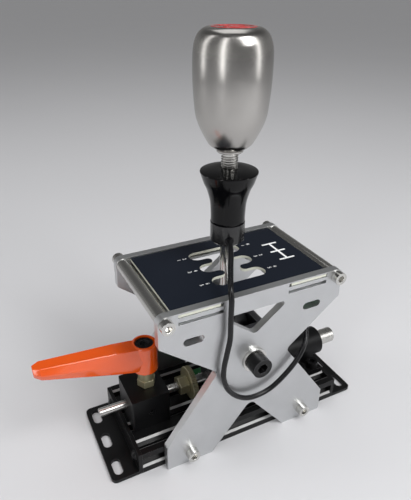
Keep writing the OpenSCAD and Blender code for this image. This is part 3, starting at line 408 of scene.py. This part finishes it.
# the lever's cable, in the two stretches that bend: points in mm, from the part's own route
cableLook = {
    "diameter": 4.0,
    "steps": 6,  # between two points of the route
    "upper": [(-4.6, -11.5, 168.5), (-6, -15, 168.5), (-8.6, -20.5, 167.5), (-11.5, -26.5, 164.5),
              (-15, -32.5, 161), (-18, -38, 158), (-21, -43.5, 155.5), (-23.5, -48.5, 152), (-24, -51, 146),
              (-24, -51, 137)],
    "lower": [(-24, -51, 137), (-24, -51, 126), (-24, -51, 114), (-26, -51, 102), (-28, -51, 90),
              (-28, -51, 79), (-24, -51, 67), (-16, -51, 57), (-6, -51, 51), (5, -51, 50), (16, -51, 53),
              (26, -51, 60), (35, -51, 69), (42, -50, 78), (48, -46, 85), (52, -40, 90), (54, -35, 94),
              (54, -33.9, 98.5), (54, -33.9, 104)],
}


def layCable(name, route, bodies, span):
    line = [p * mm for p in smoothLine(route, cableLook["steps"])]
    mesh = tubeAlong(name, line, cableLook["diameter"] * mm)
    piece = finishPiece(name + "_jacket", mesh, "cable_black", replaced=[name])
    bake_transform(piece, *bodies, start=span[0], end=span[1])
    length = sum((b - a).length for a, b in zip(line, line[1:]))
    print(name, "is", round(length / mm, 1), "mm long")


def makeCables():
    plug = dressNode("cable_plug", 0.4)
    upper, lower = ([Vector(p) * mm for p in cableLook[key]] for key in ("upper", "lower"))
    rest = upper[-3]  # from here the cable lies still on the yoke and clears the plate
    layCable("upper_cable", cableLook["upper"], ("lever", "yoke"), (upper[0], rest))
    bend = (lower[0], Vector((lower[0].x, lower[0].y, min(p.z for p in lower))))
    layCable("lower_cable", cableLook["lower"], ("yoke", "frame"), bend)


makeCables()


# turned pieces: a profile of radius and height in mm, spun round the Z axis
def lathe(profile, steps=96):
    bm = bmesh.new()
    verts = [bm.verts.new((r * mm, 0, z * mm)) for r, z in profile]
    edges = [bm.edges.new(pair) for pair in zip(verts, verts[1:])]
    bmesh.ops.spin(bm, geom=verts + edges, cent=(0, 0, 0), axis=(0, 0, 1), angle=2 * math.pi, steps=steps,
                   use_merge=True)
    bmesh.ops.remove_doubles(bm, verts=bm.verts, dist=meshLook["latheMerge"] * mm)
    bmesh.ops.recalc_face_normals(bm, faces=bm.faces)
    return bm


knobLook = {
    # shares of the largest radius and of the height, from the neck up to the shoulder
    "body": [(0.40, 0.030), (0.56, 0.068), (0.645, 0.108), (0.785, 0.193), (0.885, 0.273), (0.935, 0.342),
             (0.960, 0.42), (0.983, 0.512), (0.996, 0.6), (1.0, 0.674), (0.998, 0.76), (0.985, 0.83),
             (0.955, 0.885), (0.905, 0.93), (0.835, 0.963), (0.75, 0.985), (0.665, 0.998)],
    "neck": [(6.3, 0.0), (8.7, 0.0), (9.3, 0.5), (9.3, 1.5), (8.9, 1.9)],  # flat ring under the body, mm
    "flat": 15.8,  # radius of the flat top, mm
    "boreRadius": 6.03,
    "boreDepth": 32.3,
    "steps": 4,  # between two points of the body
    "turnSteps": 128,
    "sharp": 30,
}


def makeKnob(look):
    low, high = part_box("gear_knob")
    radius = (high.x - low.x) / 2 / mm
    height = (high.z - low.z) / mm
    base = low.z / mm
    body = [Vector((r * radius, z * height)) for r, z in look["body"]]
    top = [Vector((look["flat"], height)), Vector((0, height))]
    bore = [Vector((0, look["boreDepth"])), Vector((look["boreRadius"], look["boreDepth"])),
            Vector((look["boreRadius"], 0)), *(Vector(p) for p in look["neck"])]
    profile = bore + smoothLine(body, look["steps"]) + top
    mesh = meshOf(lathe([(p.x, p.y + base) for p in profile], look["turnSteps"]), "gear_knob")
    finishPiece("gear_knob_turned", mesh, "knob_metal", "lever", ["gear_knob"], look["sharp"])


ringLook = {
    # shares of the flare and of the height, up the outside
    "flare": [(0.0, 0.02), (0.0, 0.14), (0.07, 0.38), (0.25, 0.55), (0.44, 0.67), (0.70, 0.79),
              (1.0, 0.985)],
    "lowRadius": 12.6,
    "boreRadius": 6.05,
    "wellRadius": 10.0,
    "floor": 7.0,
    "crown": 2.7,  # rise of the closed top towards the stem
    "crownRadius": 6.3,
    "topWall": 3.0,
    "wellSlope": 1.2,
    "lip": [(0.15, -0.15), (0.5, 0.0), (1.2, 0.1)],  # in from the rim, and up from its height
    "mouth": [(0.6, 0.0), (0.15, -0.1), (0.0, -0.5)],  # out from the crown's radius, and up from the crown
    "foot": [(0.7, 0.0), (0.2, 0.2)],  # in from the low radius, and up
    "steps": 4,
    "turnSteps": 128,
    "sharp": 36,
}


def makeLiftRing(look):
    low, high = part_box("lift_ring")
    height = (high.z - low.z) / mm
    base = low.z / mm
    rim = (high.x - low.x) / 2 / mm
    flare = rim - look["lowRadius"]
    crown = height + look["crown"]
    ceiling = crown - look["topWall"]
    outside = [(look["lowRadius"] + f * flare, h * height) for f, h in look["flare"]]
    profile = [tuple(p) for p in smoothLine(outside, look["steps"])]
    profile += [(rim - inward, height + up) for inward, up in look["lip"]]
    profile += [(look["crownRadius"] + out, crown + up) for out, up in look["mouth"]]
    profile += [(look["crownRadius"], ceiling), (look["wellRadius"], ceiling - look["wellSlope"])]
    profile += [(look["wellRadius"], look["floor"]), (look["boreRadius"], look["floor"])]
    profile += [(look["boreRadius"], 0)]
    profile += [(look["lowRadius"] - inward, up) for inward, up in look["foot"]]
    profile += profile[:1]
    mesh = meshOf(lathe([(r, z + base) for r, z in profile], look["turnSteps"]), "lift_ring")
    finishPiece("lift_ring_turned", mesh, "ring_black", "ring", ["lift_ring"], look["sharp"])


stemLook = {
    "lowRadius": 5.0,
    "lowEdge": 0.4,
    "shoulder": 160.0,  # height where the stem gets thicker
    "radius": 6.0,
    "turnSteps": 64,
    "sharp": 30,
}

# the thread between the lift ring and the knob, in mm
threadLook = {
    "low": 212.0,
    "high": 231.0,
    "pitch": 1.75,
    "root": 4.95,  # radius
    "runOut": 0.6,
    "foot": 0.46,  # half the width of the ridge's foot, as a share of the pitch
    "crest": 0.12,  # half the width of its crest
    "sunk": 0.1,  # its foot inside the root
    "stepsPerTurn": 36,
}


def makeStem(look, thread):
    low, high = (corner.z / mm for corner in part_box("lever_stem"))
    thin, thick, edge = look["lowRadius"], look["radius"], look["lowEdge"]
    root, runOut = thread["root"], thread["runOut"]
    profile = [(0, low), (thin - edge, low), (thin, low + edge), (thin, look["shoulder"]),
               (thick, look["shoulder"] + edge), (thick, thread["low"]), (root, thread["low"] + runOut),
               (root, thread["high"] - runOut), (thick, thread["high"]), (thick, high), (0, high)]
    mesh = meshOf(lathe(profile, look["turnSteps"]), "lever_stem")
    finishPiece("lever_stem_turned", mesh, "stainless", "lever", ["lever_stem"], look["sharp"])


def makeThread(look, crestRadius):
    bm = bmesh.new()
    half = look["pitch"] * look["foot"]
    foot = look["root"] - look["sunk"]
    ridge = [(foot, -half), (crestRadius, -look["crest"]), (crestRadius, look["crest"]), (foot, half)]
    verts = [bm.verts.new((r * mm, 0, (look["low"] + half + z) * mm)) for r, z in ridge]
    edges = [bm.edges.new(pair) for pair in zip(verts, verts[1:] + verts[:1])]
    turns = int((look["high"] - look["low"] - 2 * half) / look["pitch"])
    rise = look["pitch"] / look["stepsPerTurn"] * mm
    bmesh.ops.spin(bm, geom=verts + edges, cent=(0, 0, 0), axis=(0, 0, 1), angle=2 * math.pi * turns,
                   steps=turns * look["stepsPerTurn"], dvec=(0, 0, rise), use_merge=False)
    bmesh.ops.holes_fill(bm, edges=[e for e in bm.edges if e.is_boundary], sides=len(ridge))
    bmesh.ops.recalc_face_normals(bm, faces=bm.faces)
    finishPiece("stem_thread", meshOf(bm, "stem_thread"), "stainless", "lever")


makeKnob(knobLook)
makeLiftRing(ringLook)
makeStem(stemLook, threadLook)
makeThread(threadLook, stemLook["radius"])
print("knob, lift ring and stem turned")

# springs: wire in mm, turns, the axis they lie along, the bodies at the fixed and the moving end, and
# which end of the axis is the fixed one
springLooks = {
    "front_centring_spring": dict(wire=1.2, turns=6, axis=1, bodies=("yoke", "lever"), fixed="low"),
    "rear_centring_spring": dict(wire=1.2, turns=6, axis=1, bodies=("yoke", "lever"), fixed="high"),
    "ring_spring": dict(wire=1.4, turns=5, axis=2, bodies=("lever", "ring"), fixed="high"),
    "grip_spring": dict(wire=0.9, turns=4, axis=2, bodies=("clamp", "grip"), fixed="high"),
}

springShape = {
    "closedTurns": 1.0,  # that lie flat at each end
    "closedPitch": 1.04,  # times the wire
    "stepsPerTurn": 32,
    "sides": 10,
    "sharp": 60,
}


def makeSpring(node, look):
    low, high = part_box(node)
    middle = (low + high) / 2
    wire = look["wire"] * mm
    across = 0 if look["axis"] == 1 else 1
    radius = (high[across] - low[across] - wire) / 2
    run = high[look["axis"]] - low[look["axis"]] - wire
    stepsPerTurn = springShape["stepsPerTurn"]
    closed = springShape["closedTurns"]
    closedRise = springShape["closedPitch"] * wire
    openTurns = look["turns"] - closed
    openRise = (run - 2 * closed * closedRise) / openTurns
    bm = bmesh.new()
    place = Matrix.Translation((radius, 0, 0)) @ Matrix.Rotation(math.pi / 2, 4, "X")
    ring = bmesh.ops.create_circle(bm, cap_ends=False, radius=wire / 2, segments=springShape["sides"],
                                   matrix=place)
    geom = ring["verts"] + list(bm.edges)
    for turns, rise in ((closed, closedRise), (openTurns, openRise), (closed, closedRise)):
        made = bmesh.ops.spin(bm, geom=geom, cent=(0, 0, 0), axis=(0, 0, 1), angle=2 * math.pi * turns,
                              steps=int(turns * stepsPerTurn), dvec=(0, 0, rise / stepsPerTurn),
                              use_merge=False)
        geom = made["geom_last"]
    bmesh.ops.holes_fill(bm, edges=[e for e in bm.edges if e.is_boundary], sides=0)
    bmesh.ops.recalc_face_normals(bm, faces=bm.faces)
    bmesh.ops.translate(bm, verts=bm.verts, vec=(0, 0, -run / 2))
    if look["axis"] == 1:
        bmesh.ops.rotate(bm, verts=bm.verts, cent=(0, 0, 0), matrix=Matrix.Rotation(math.pi / 2, 3, "X"))
    bmesh.ops.translate(bm, verts=bm.verts, vec=middle)
    piece = finishPiece(node + "_wound", meshOf(bm, node), slotOf[node], replaced=[node],
                        sharp=springShape["sharp"])
    ends = [middle.copy(), middle.copy()]
    ends[0][look["axis"]] = low[look["axis"]]
    ends[1][look["axis"]] = high[look["axis"]]
    if look["fixed"] == "high":
        ends.reverse()
    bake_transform(piece, *look["bodies"], start=ends[0], end=ends[1])


for springNode, springLook in springLooks.items():
    makeSpring(springNode, springLook)
print("springs wound")

# rigid nodes with their edges broken: width of the bevel in mm
edgeWidths = {
    "base_rail": 0.25, "left_foot_bracket": 0.5, "right_foot_bracket": 0.5, "foot_bracket_screws": 0.25,
    "front_side_plate": 0.35, "rear_side_plate": 0.35, "rail_bolts": 0.35, "rail_t_nuts": 0.2,
    "left_corner_tube": 0.3, "right_corner_tube": 0.3, "corner_bolts": 0.35, "gate_plate": 0.15,
    "gate_film": 0.08, "guide_plate": 0.2, "pivot_bushes": 0.4, "controller_board": 0.1,
    "board_standoffs": 0.2, "usb_socket": 0.15, "shift_sensor_board": 0.1, "clamp_block": 0.6,
    "block_screws": 0.25, "block_grub_screw": 0.25, "bearing_block": 0.6, "bearing_block_screws": 0.4,
    "shaft_bush": 0.3, "pivot_bolts": 0.5, "thrust_washers": 0.2, "gimbal_yoke": 0.6, "cross_pin": 0.4,
    "select_sensor_board": 0.1, "lever_hub": 0.5, "hub_bushes": 0.2, "tail_magnet": 0.2,
    "switch_housing": 0.3, "lift_switch": 0.2,
    "cable_gland": 0.3, "spring_collar": 0.4, "knob_inlay": 0.1, "friction_rod": 0.5, "friction_pad": 0.2,
    "lock_nut": 0.5, "drive_fork": 0.5, "fork_magnet": 0.2, "bearing_shaft": 0.6, "thumb_wheel": 0.2,
    "clamp_screw": 0.4, "retaining_screw": 0.3,
}
for nodeName, edgeWidth in edgeWidths.items():
    dressNode(nodeName, edgeWidth)
print("edges broken on", len(edgeWidths), "nodes")

# the orange handle: a turned hub and an arm that rises and narrows to its tip, in mm
gripLook = {
    # reach from the hub's axis, width and height; the first follows a circle inside the hub's wall
    "sections": [(9.3, 17.7, 21.5), (24, 17, 20), (77, 14, 10), (82, 8, 8)],
    "slope": 10.5,  # degrees
    "drawnIn": 2.0,  # from the ridge along each side to the top's edge
    "edge": 1.9,
    "edgeSteps": 5,
    "cuts": 7,  # along each stretch of the arm
    "hub": 10.0,  # radius
    "hubHeight": 25.0,
    "lowEdge": 1.0,
    "topEdge": 1.5,
    # radius and height of the steps inside the hub, from the mouth at the top down
    "bore": [(7.5, 25), (7.5, 12.5), (2.55, 12.5), (2.55, 10.5), (6.3, 10.5), (6.3, 0)],
}


def closeRoot(bm, radius, climb, middle, longest=2 * mm, cuts=4, clear=0.1 * mm):
    # bends the arm's open end onto the circle and closes it with upright strips
    coarse = [e for e in bm.edges if e.is_boundary and e.calc_length() > longest]
    bmesh.ops.subdivide_edges(bm, edges=coarse, cuts=cuts)
    mouth = {v for e in bm.edges if e.is_boundary for v in e.verts}
    for vert in mouth:
        x = -math.sqrt(radius ** 2 - vert.co.y ** 2)
        vert.co.z += (vert.co.x - x) * climb
        vert.co.x = x
    bmesh.ops.holes_fill(bm, edges=[e for e in bm.edges if e.is_boundary], sides=0)
    above = {v: v.co.z + v.co.x * climb - middle for v in mouth}
    upper = sorted((v for v in mouth if above[v] > clear), key=lambda v: v.co.y)
    lower = sorted((v for v in mouth if above[v] < -clear), key=lambda v: v.co.y)
    for pair in zip(upper, lower):
        bmesh.ops.connect_verts(bm, verts=pair)


def gripArm(look):
    bm = bmesh.new()
    climb = math.tan(math.radians(look["slope"]))
    rings = []
    for reach, wide, tall in look["sections"]:
        side, flat, up = wide / 2, wide / 2 - look["drawnIn"], tall / 2
        outline = [(-side, 0), (-flat, up), (flat, up), (side, 0), (flat, -up), (-flat, -up)]
        middle = reach * climb + look["hubHeight"] / 2
        verts = [bm.verts.new(Vector((-reach, y, z + middle)) * mm) for y, z in outline]
        rings.append([bm.edges.new(pair) for pair in zip(verts, verts[1:] + verts[:1])])
    for near, far in zip(rings, rings[1:]):
        bmesh.ops.bridge_loops(bm, edges=near + far)
    around = {edge for ring in rings for edge in ring}
    bmesh.ops.contextual_create(bm, geom=rings[-1])
    bmesh.ops.subdivide_edges(bm, edges=[e for e in bm.edges if e not in around], cuts=look["cuts"],
                              use_grid_fill=True)
    bmesh.ops.recalc_face_normals(bm, faces=bm.faces)
    roundEdges(bm, look["edge"], look["edgeSteps"])
    closeRoot(bm, look["sections"][0][0] * mm, climb, look["hubHeight"] / 2 * mm)
    bmesh.ops.recalc_face_normals(bm, faces=bm.faces)
    return bm


def quarterArc(radius, height, edge, start, steps=6):
    # a rounded corner of a turned profile, round a centre set in by the edge
    turns = (math.radians(start + 90 * i / steps) for i in range(steps + 1))
    return [(radius - edge + edge * math.cos(t), height + edge * math.sin(t)) for t in turns]


def makeGrip(look):
    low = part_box("clamping_lever")[0]
    axis = sum(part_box("retaining_screw"), Vector()) / 2
    wall = quarterArc(look["hub"], look["lowEdge"], look["lowEdge"], -90)
    wall += quarterArc(look["hub"], look["hubHeight"] - look["topEdge"], look["topEdge"], 0)
    hub = meshOf(lathe(wall + look["bore"] + wall[:1]), "grip_hub")
    bm = gripArm(look)
    bm.from_mesh(hub)
    bpy.data.meshes.remove(hub)
    bmesh.ops.translate(bm, verts=bm.verts, vec=(axis.x, axis.y, low.z))
    mesh = meshOf(bm, "clamping_lever")
    piece = finishPiece("clamping_lever_finished", mesh, "grip_orange", "grip", ["clamping_lever"])
    evenNormals(piece)


makeGrip(gripLook)
print("handle moulded")

# numerals at the ends of the gate's slots, read from the driver's side
numeralLook = {
    "size": 4.2,  # mm
    "thick": 0.03,
    "near": 26.3,  # from the middle of the gate, for the usual pattern
    "far": 31.0,  # for the pattern with reverse beside first
    "slots": [20, 0, -20],
    "forward": [("1", "R"), ("3", "2"), ("5", "4")],
    "back": [("2", "1"), ("4", "3"), ("6", "5")],
}


def makeNumerals(look):
    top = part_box("gate_film")[1].z
    bm = bmesh.new()
    signs = []
    for side, key in ((1, "forward"), (-1, "back")):
        for y, pair in zip(look["slots"], look[key]):
            signs += [(sign, side * look[reach], y) for sign, reach in zip(pair, ("near", "far"))]
    for sign, x, y in signs:
        text = bpy.data.curves.new("numeral", "FONT")
        text.body = sign
        text.size = look["size"] * mm
        text.extrude = look["thick"] * mm
        text.align_x = "CENTER"
        text.align_y = "CENTER"
        holder = bpy.data.objects.new("numeral", text)
        flat = bpy.data.meshes.new_from_object(holder)
        flat.transform(Matrix.Translation((x * mm, y * mm, top)) @ Matrix.Rotation(-math.pi / 2, 4, "Z"))
        bm.from_mesh(flat)
        bpy.data.objects.remove(holder)
        bpy.data.meshes.remove(flat)
    finishPiece("gate_numerals", meshOf(bm, "gate_numerals"), "white_print", "frame")


makeNumerals(numeralLook)

# the shift pattern on the gate's film: three bars along X and the links between them, in mm
patternLook = {
    "middle": (47.5, 0.0),
    "bar": 14.0,
    "pitch": 13.0,
    "width": 1.8,
    "round": 0.49,  # of the bars' ends, as a share of the width
    "thick": 0.03,
}


def addBlock(bm, centre, size, edge=0.0, upright=False):
    # a block with its edges broken, or with only its upright edges rounded
    steps = 6 if upright else 2
    place = Matrix.Translation(Vector(centre) * mm) @ Matrix.Diagonal((*(Vector(size) * mm), 1.0))
    made = bmesh.ops.create_cube(bm, size=1.0, matrix=place)
    edges = list({e for v in made["verts"] for e in v.link_edges})
    if upright:
        edges = [e for e in edges if abs(e.verts[0].co.z - e.verts[1].co.z) > abs(size[2]) * mm / 2]
    if edge:
        bmesh.ops.bevel(bm, geom=edges, offset=edge * mm, offset_type="OFFSET", segments=steps,
                        profile=0.5, affect="EDGES", material=-1, clamp_overlap=True)


def makePattern(look):
    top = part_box("gate_film")[1].z / mm
    x, y = look["middle"]
    width, pitch, tall = look["width"], look["pitch"], 2 * look["thick"]
    bm = bmesh.new()
    for i in (-1, 0, 1):
        addBlock(bm, (x, y + i * pitch, top), (look["bar"], width, tall), look["round"] * width, True)
    for i in (-0.5, 0.5):
        addBlock(bm, (x, y + i * pitch, top), (width, pitch - width, tall))
    finishPiece("gate_pattern", meshOf(bm, "gate_pattern"), "white_print", "frame")


makePattern(patternLook)
print("numerals and pattern printed")

# small parts on the high side of each board's thin axis, as finish, place, size in its plane and height
# in mm, and dots of solder on the side that dotSide names
pinPitch = 2.54
partEdge = 0.15
boardLooks = {
    "controller_board": dict(
        axis=1, dotSide=-1,
        parts=[("chip_black", 45, 120, 10, 10, 1.2), ("spring_steel", 43, 110, 9, 3.6, 2.4),
               ("chip_black", 38, 127, 3, 2.4, 1.0), ("solder_tin", 52, 127.5, 2, 1.2, 0.8),
               ("solder_tin", 55, 127.5, 2, 1.2, 0.8), ("chip_black", 38, 115, 1.6, 0.8, 0.6)],
        dots=[(40 + pinPitch * i, z) for i in range(8) for z in (116.6, 119.2)]),
    "shift_sensor_board": dict(
        axis=2, dotSide=1,
        parts=[("chip_black", 0, 0, 4.2, 3.2, 1.0), ("chip_black", -21, 20, 5, 4, 1.1),
               ("plug_ivory", 20, 19, 9, 6, 4.6), ("solder_tin", -3, 20, 2, 1.2, 0.6),
               ("solder_tin", 2, 20, 2, 1.2, 0.6), ("chip_black", 7, 21, 3, 1.6, 0.6)],
        dots=[(-14.0, 19.0), (-16.7, 15.0), (-14.0, 14.6), (-17.4, 12.6)]),
    "select_sensor_board": dict(
        axis=2, dotSide=1,
        parts=[("chip_black", 0, 0, 3, 3, 0.6), ("chip_black", 4, 14, 3, 2, 0.6),
               ("solder_tin", -4, 14, 1.6, 0.8, 0.5), ("solder_tin", -4, -13, 1.6, 0.8, 0.5)],
        dots=[(-5 + pinPitch * i, 20) for i in range(5)]),
}


def addDot(bm, centre, across, radius=0.75, rise=0.45):
    # a dome of solder that stands on the board's face
    scale = Vector((radius, radius, radius)) * mm
    scale[across] = rise * mm
    place = Matrix.Translation(Vector(centre) * mm) @ Matrix.Diagonal((*scale, 1.0))
    bmesh.ops.create_uvsphere(bm, u_segments=12, v_segments=8, radius=1.0, matrix=place)


def dressBoard(board, look):
    low, high = (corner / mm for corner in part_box(board))
    axis = look["axis"]
    dotFace = high[axis] if look["dotSide"] > 0 else low[axis]
    used = dict.fromkeys(["solder_tin", *(part[0] for part in look["parts"])])
    built = {finish: bmesh.new() for finish in used}
    for finish, u, v, long, wide, rise in look["parts"]:
        centre = [u, v, v]
        size = [long, wide, wide]
        centre[axis] = high[axis] + rise / 2
        size[axis] = rise
        addBlock(built[finish], centre, size, partEdge)
    for u, v in look["dots"]:
        centre = [u, v, v]
        centre[axis] = dotFace
        addDot(built["solder_tin"], centre, axis)
    for finish, bm in built.items():
        name = board + "_" + finish
        finishPiece(name, meshOf(bm, name), finish, bodyOf[board])


for boardName, boardLook in boardLooks.items():
    dressBoard(boardName, boardLook)
print("boards fitted out")

# pale floor and soft studio light
floorLook = {
    "size": 30.0,
    "colour": (0.86, 0.86, 0.87),
    "rough": 0.7,
    "cells": (3, 3, 3),  # of its mottle, per metre
    "darkest": 0.97,  # share of the colour
}
lampLooks = {
    "key_softbox": dict(place=(0.32, -0.85, 1.08), aim=(0, 0, 0.15), size=(0.45, 0.75), power=10.0),
    "left_strip": dict(place=(-0.85, -0.55, 0.82), aim=(0, 0, 0.60), size=(0.14, 1.5), power=3.4),
    "right_strip": dict(place=(0.80, -0.75, 0.82), aim=(0, 0, 0.60), size=(0.16, 1.5), power=3.0),
    "rim_strip": dict(place=(-1.00, 0.55, 0.82), aim=(0, 0, 0.60), size=(0.20, 1.5), power=2.6),
    "top_softbox": dict(place=(0.2, 0.5, 1.70), aim=(0, 0, 0.1), size=(1.0, 1.0), power=4.0),
}
# the world's light, and what the camera and the metals see of it: as bright as the floor's far end at the
# horizon, and darker overhead
skyLook = {
    "light": 0.36,
    "horizon": 0.25,
    "overhead": 0.09,
    "from": 0.06,  # heights, as shares of straight up, between which it darkens
    "to": 0.65,
}


def makeFloor(look):
    bm = bmesh.new()
    bmesh.ops.create_grid(bm, x_segments=1, y_segments=1, size=look["size"] / 2)
    mesh = meshOf(bm, "studio_floor")
    material, wire, where = startFinish("studio_floor")
    tone = shown(*look["colour"])
    dark = (*(look["darkest"] * c for c in tone[:3]), 1.0)
    colour = mixed(wire, grain(wire, where, look["cells"]), tone, dark)
    closeFinish(wire, {"Base Color": colour, "Roughness": look["rough"]})
    mesh.materials.append(material)
    floor = bpy.data.objects.new("studio_floor", mesh)
    scene.collection.objects.link(floor)


def hangLamp(name, look):
    data = bpy.data.lights.new(name, "AREA")
    data.shape = "RECTANGLE"
    data.size, data.size_y = look["size"]
    data.energy = look["power"]
    lamp = bpy.data.objects.new(name, data)
    place = Vector(look["place"])
    aim = (place - Vector(look["aim"])).to_track_quat("Z", "Y")
    lamp.matrix_world = Matrix.Translation(place) @ aim.to_matrix().to_4x4()
    scene.collection.objects.link(lamp)


def makeWorld(look):
    world = bpy.data.worlds.new("studio")
    world.use_nodes = True
    world.node_tree.nodes.clear()
    wire = Wire(world.node_tree)
    kinds = ("Camera", "Glossy", "Transmission")
    seen = sum(wire.node("LightPath", out="Is " + kind + " Ray") for kind in kinds)
    up = wire.node("SeparateXYZ", {}, {"Vector": wire.node("TexCoord", out="Generated")}, out="Z")
    sky = wire.node("MapRange", {"interpolation_type": "SMOOTHSTEP"},
                    {"Value": up, "From Min": look["from"], "From Max": look["to"],
                     "To Min": look["horizon"], "To Max": look["overhead"]})
    strength = look["light"] + seen * (sky - look["light"])
    glow = wire.node("Background", {}, {"Color": (1, 1, 1, 1), "Strength": strength})
    wire.node("OutputWorld", {}, {"Surface": glow})
    scene.world = world


makeFloor(floorLook)
for lampName, lampLook in lampLooks.items():
    hangLamp(lampName, lampLook)
makeWorld(skyLook)
print("stage lit")
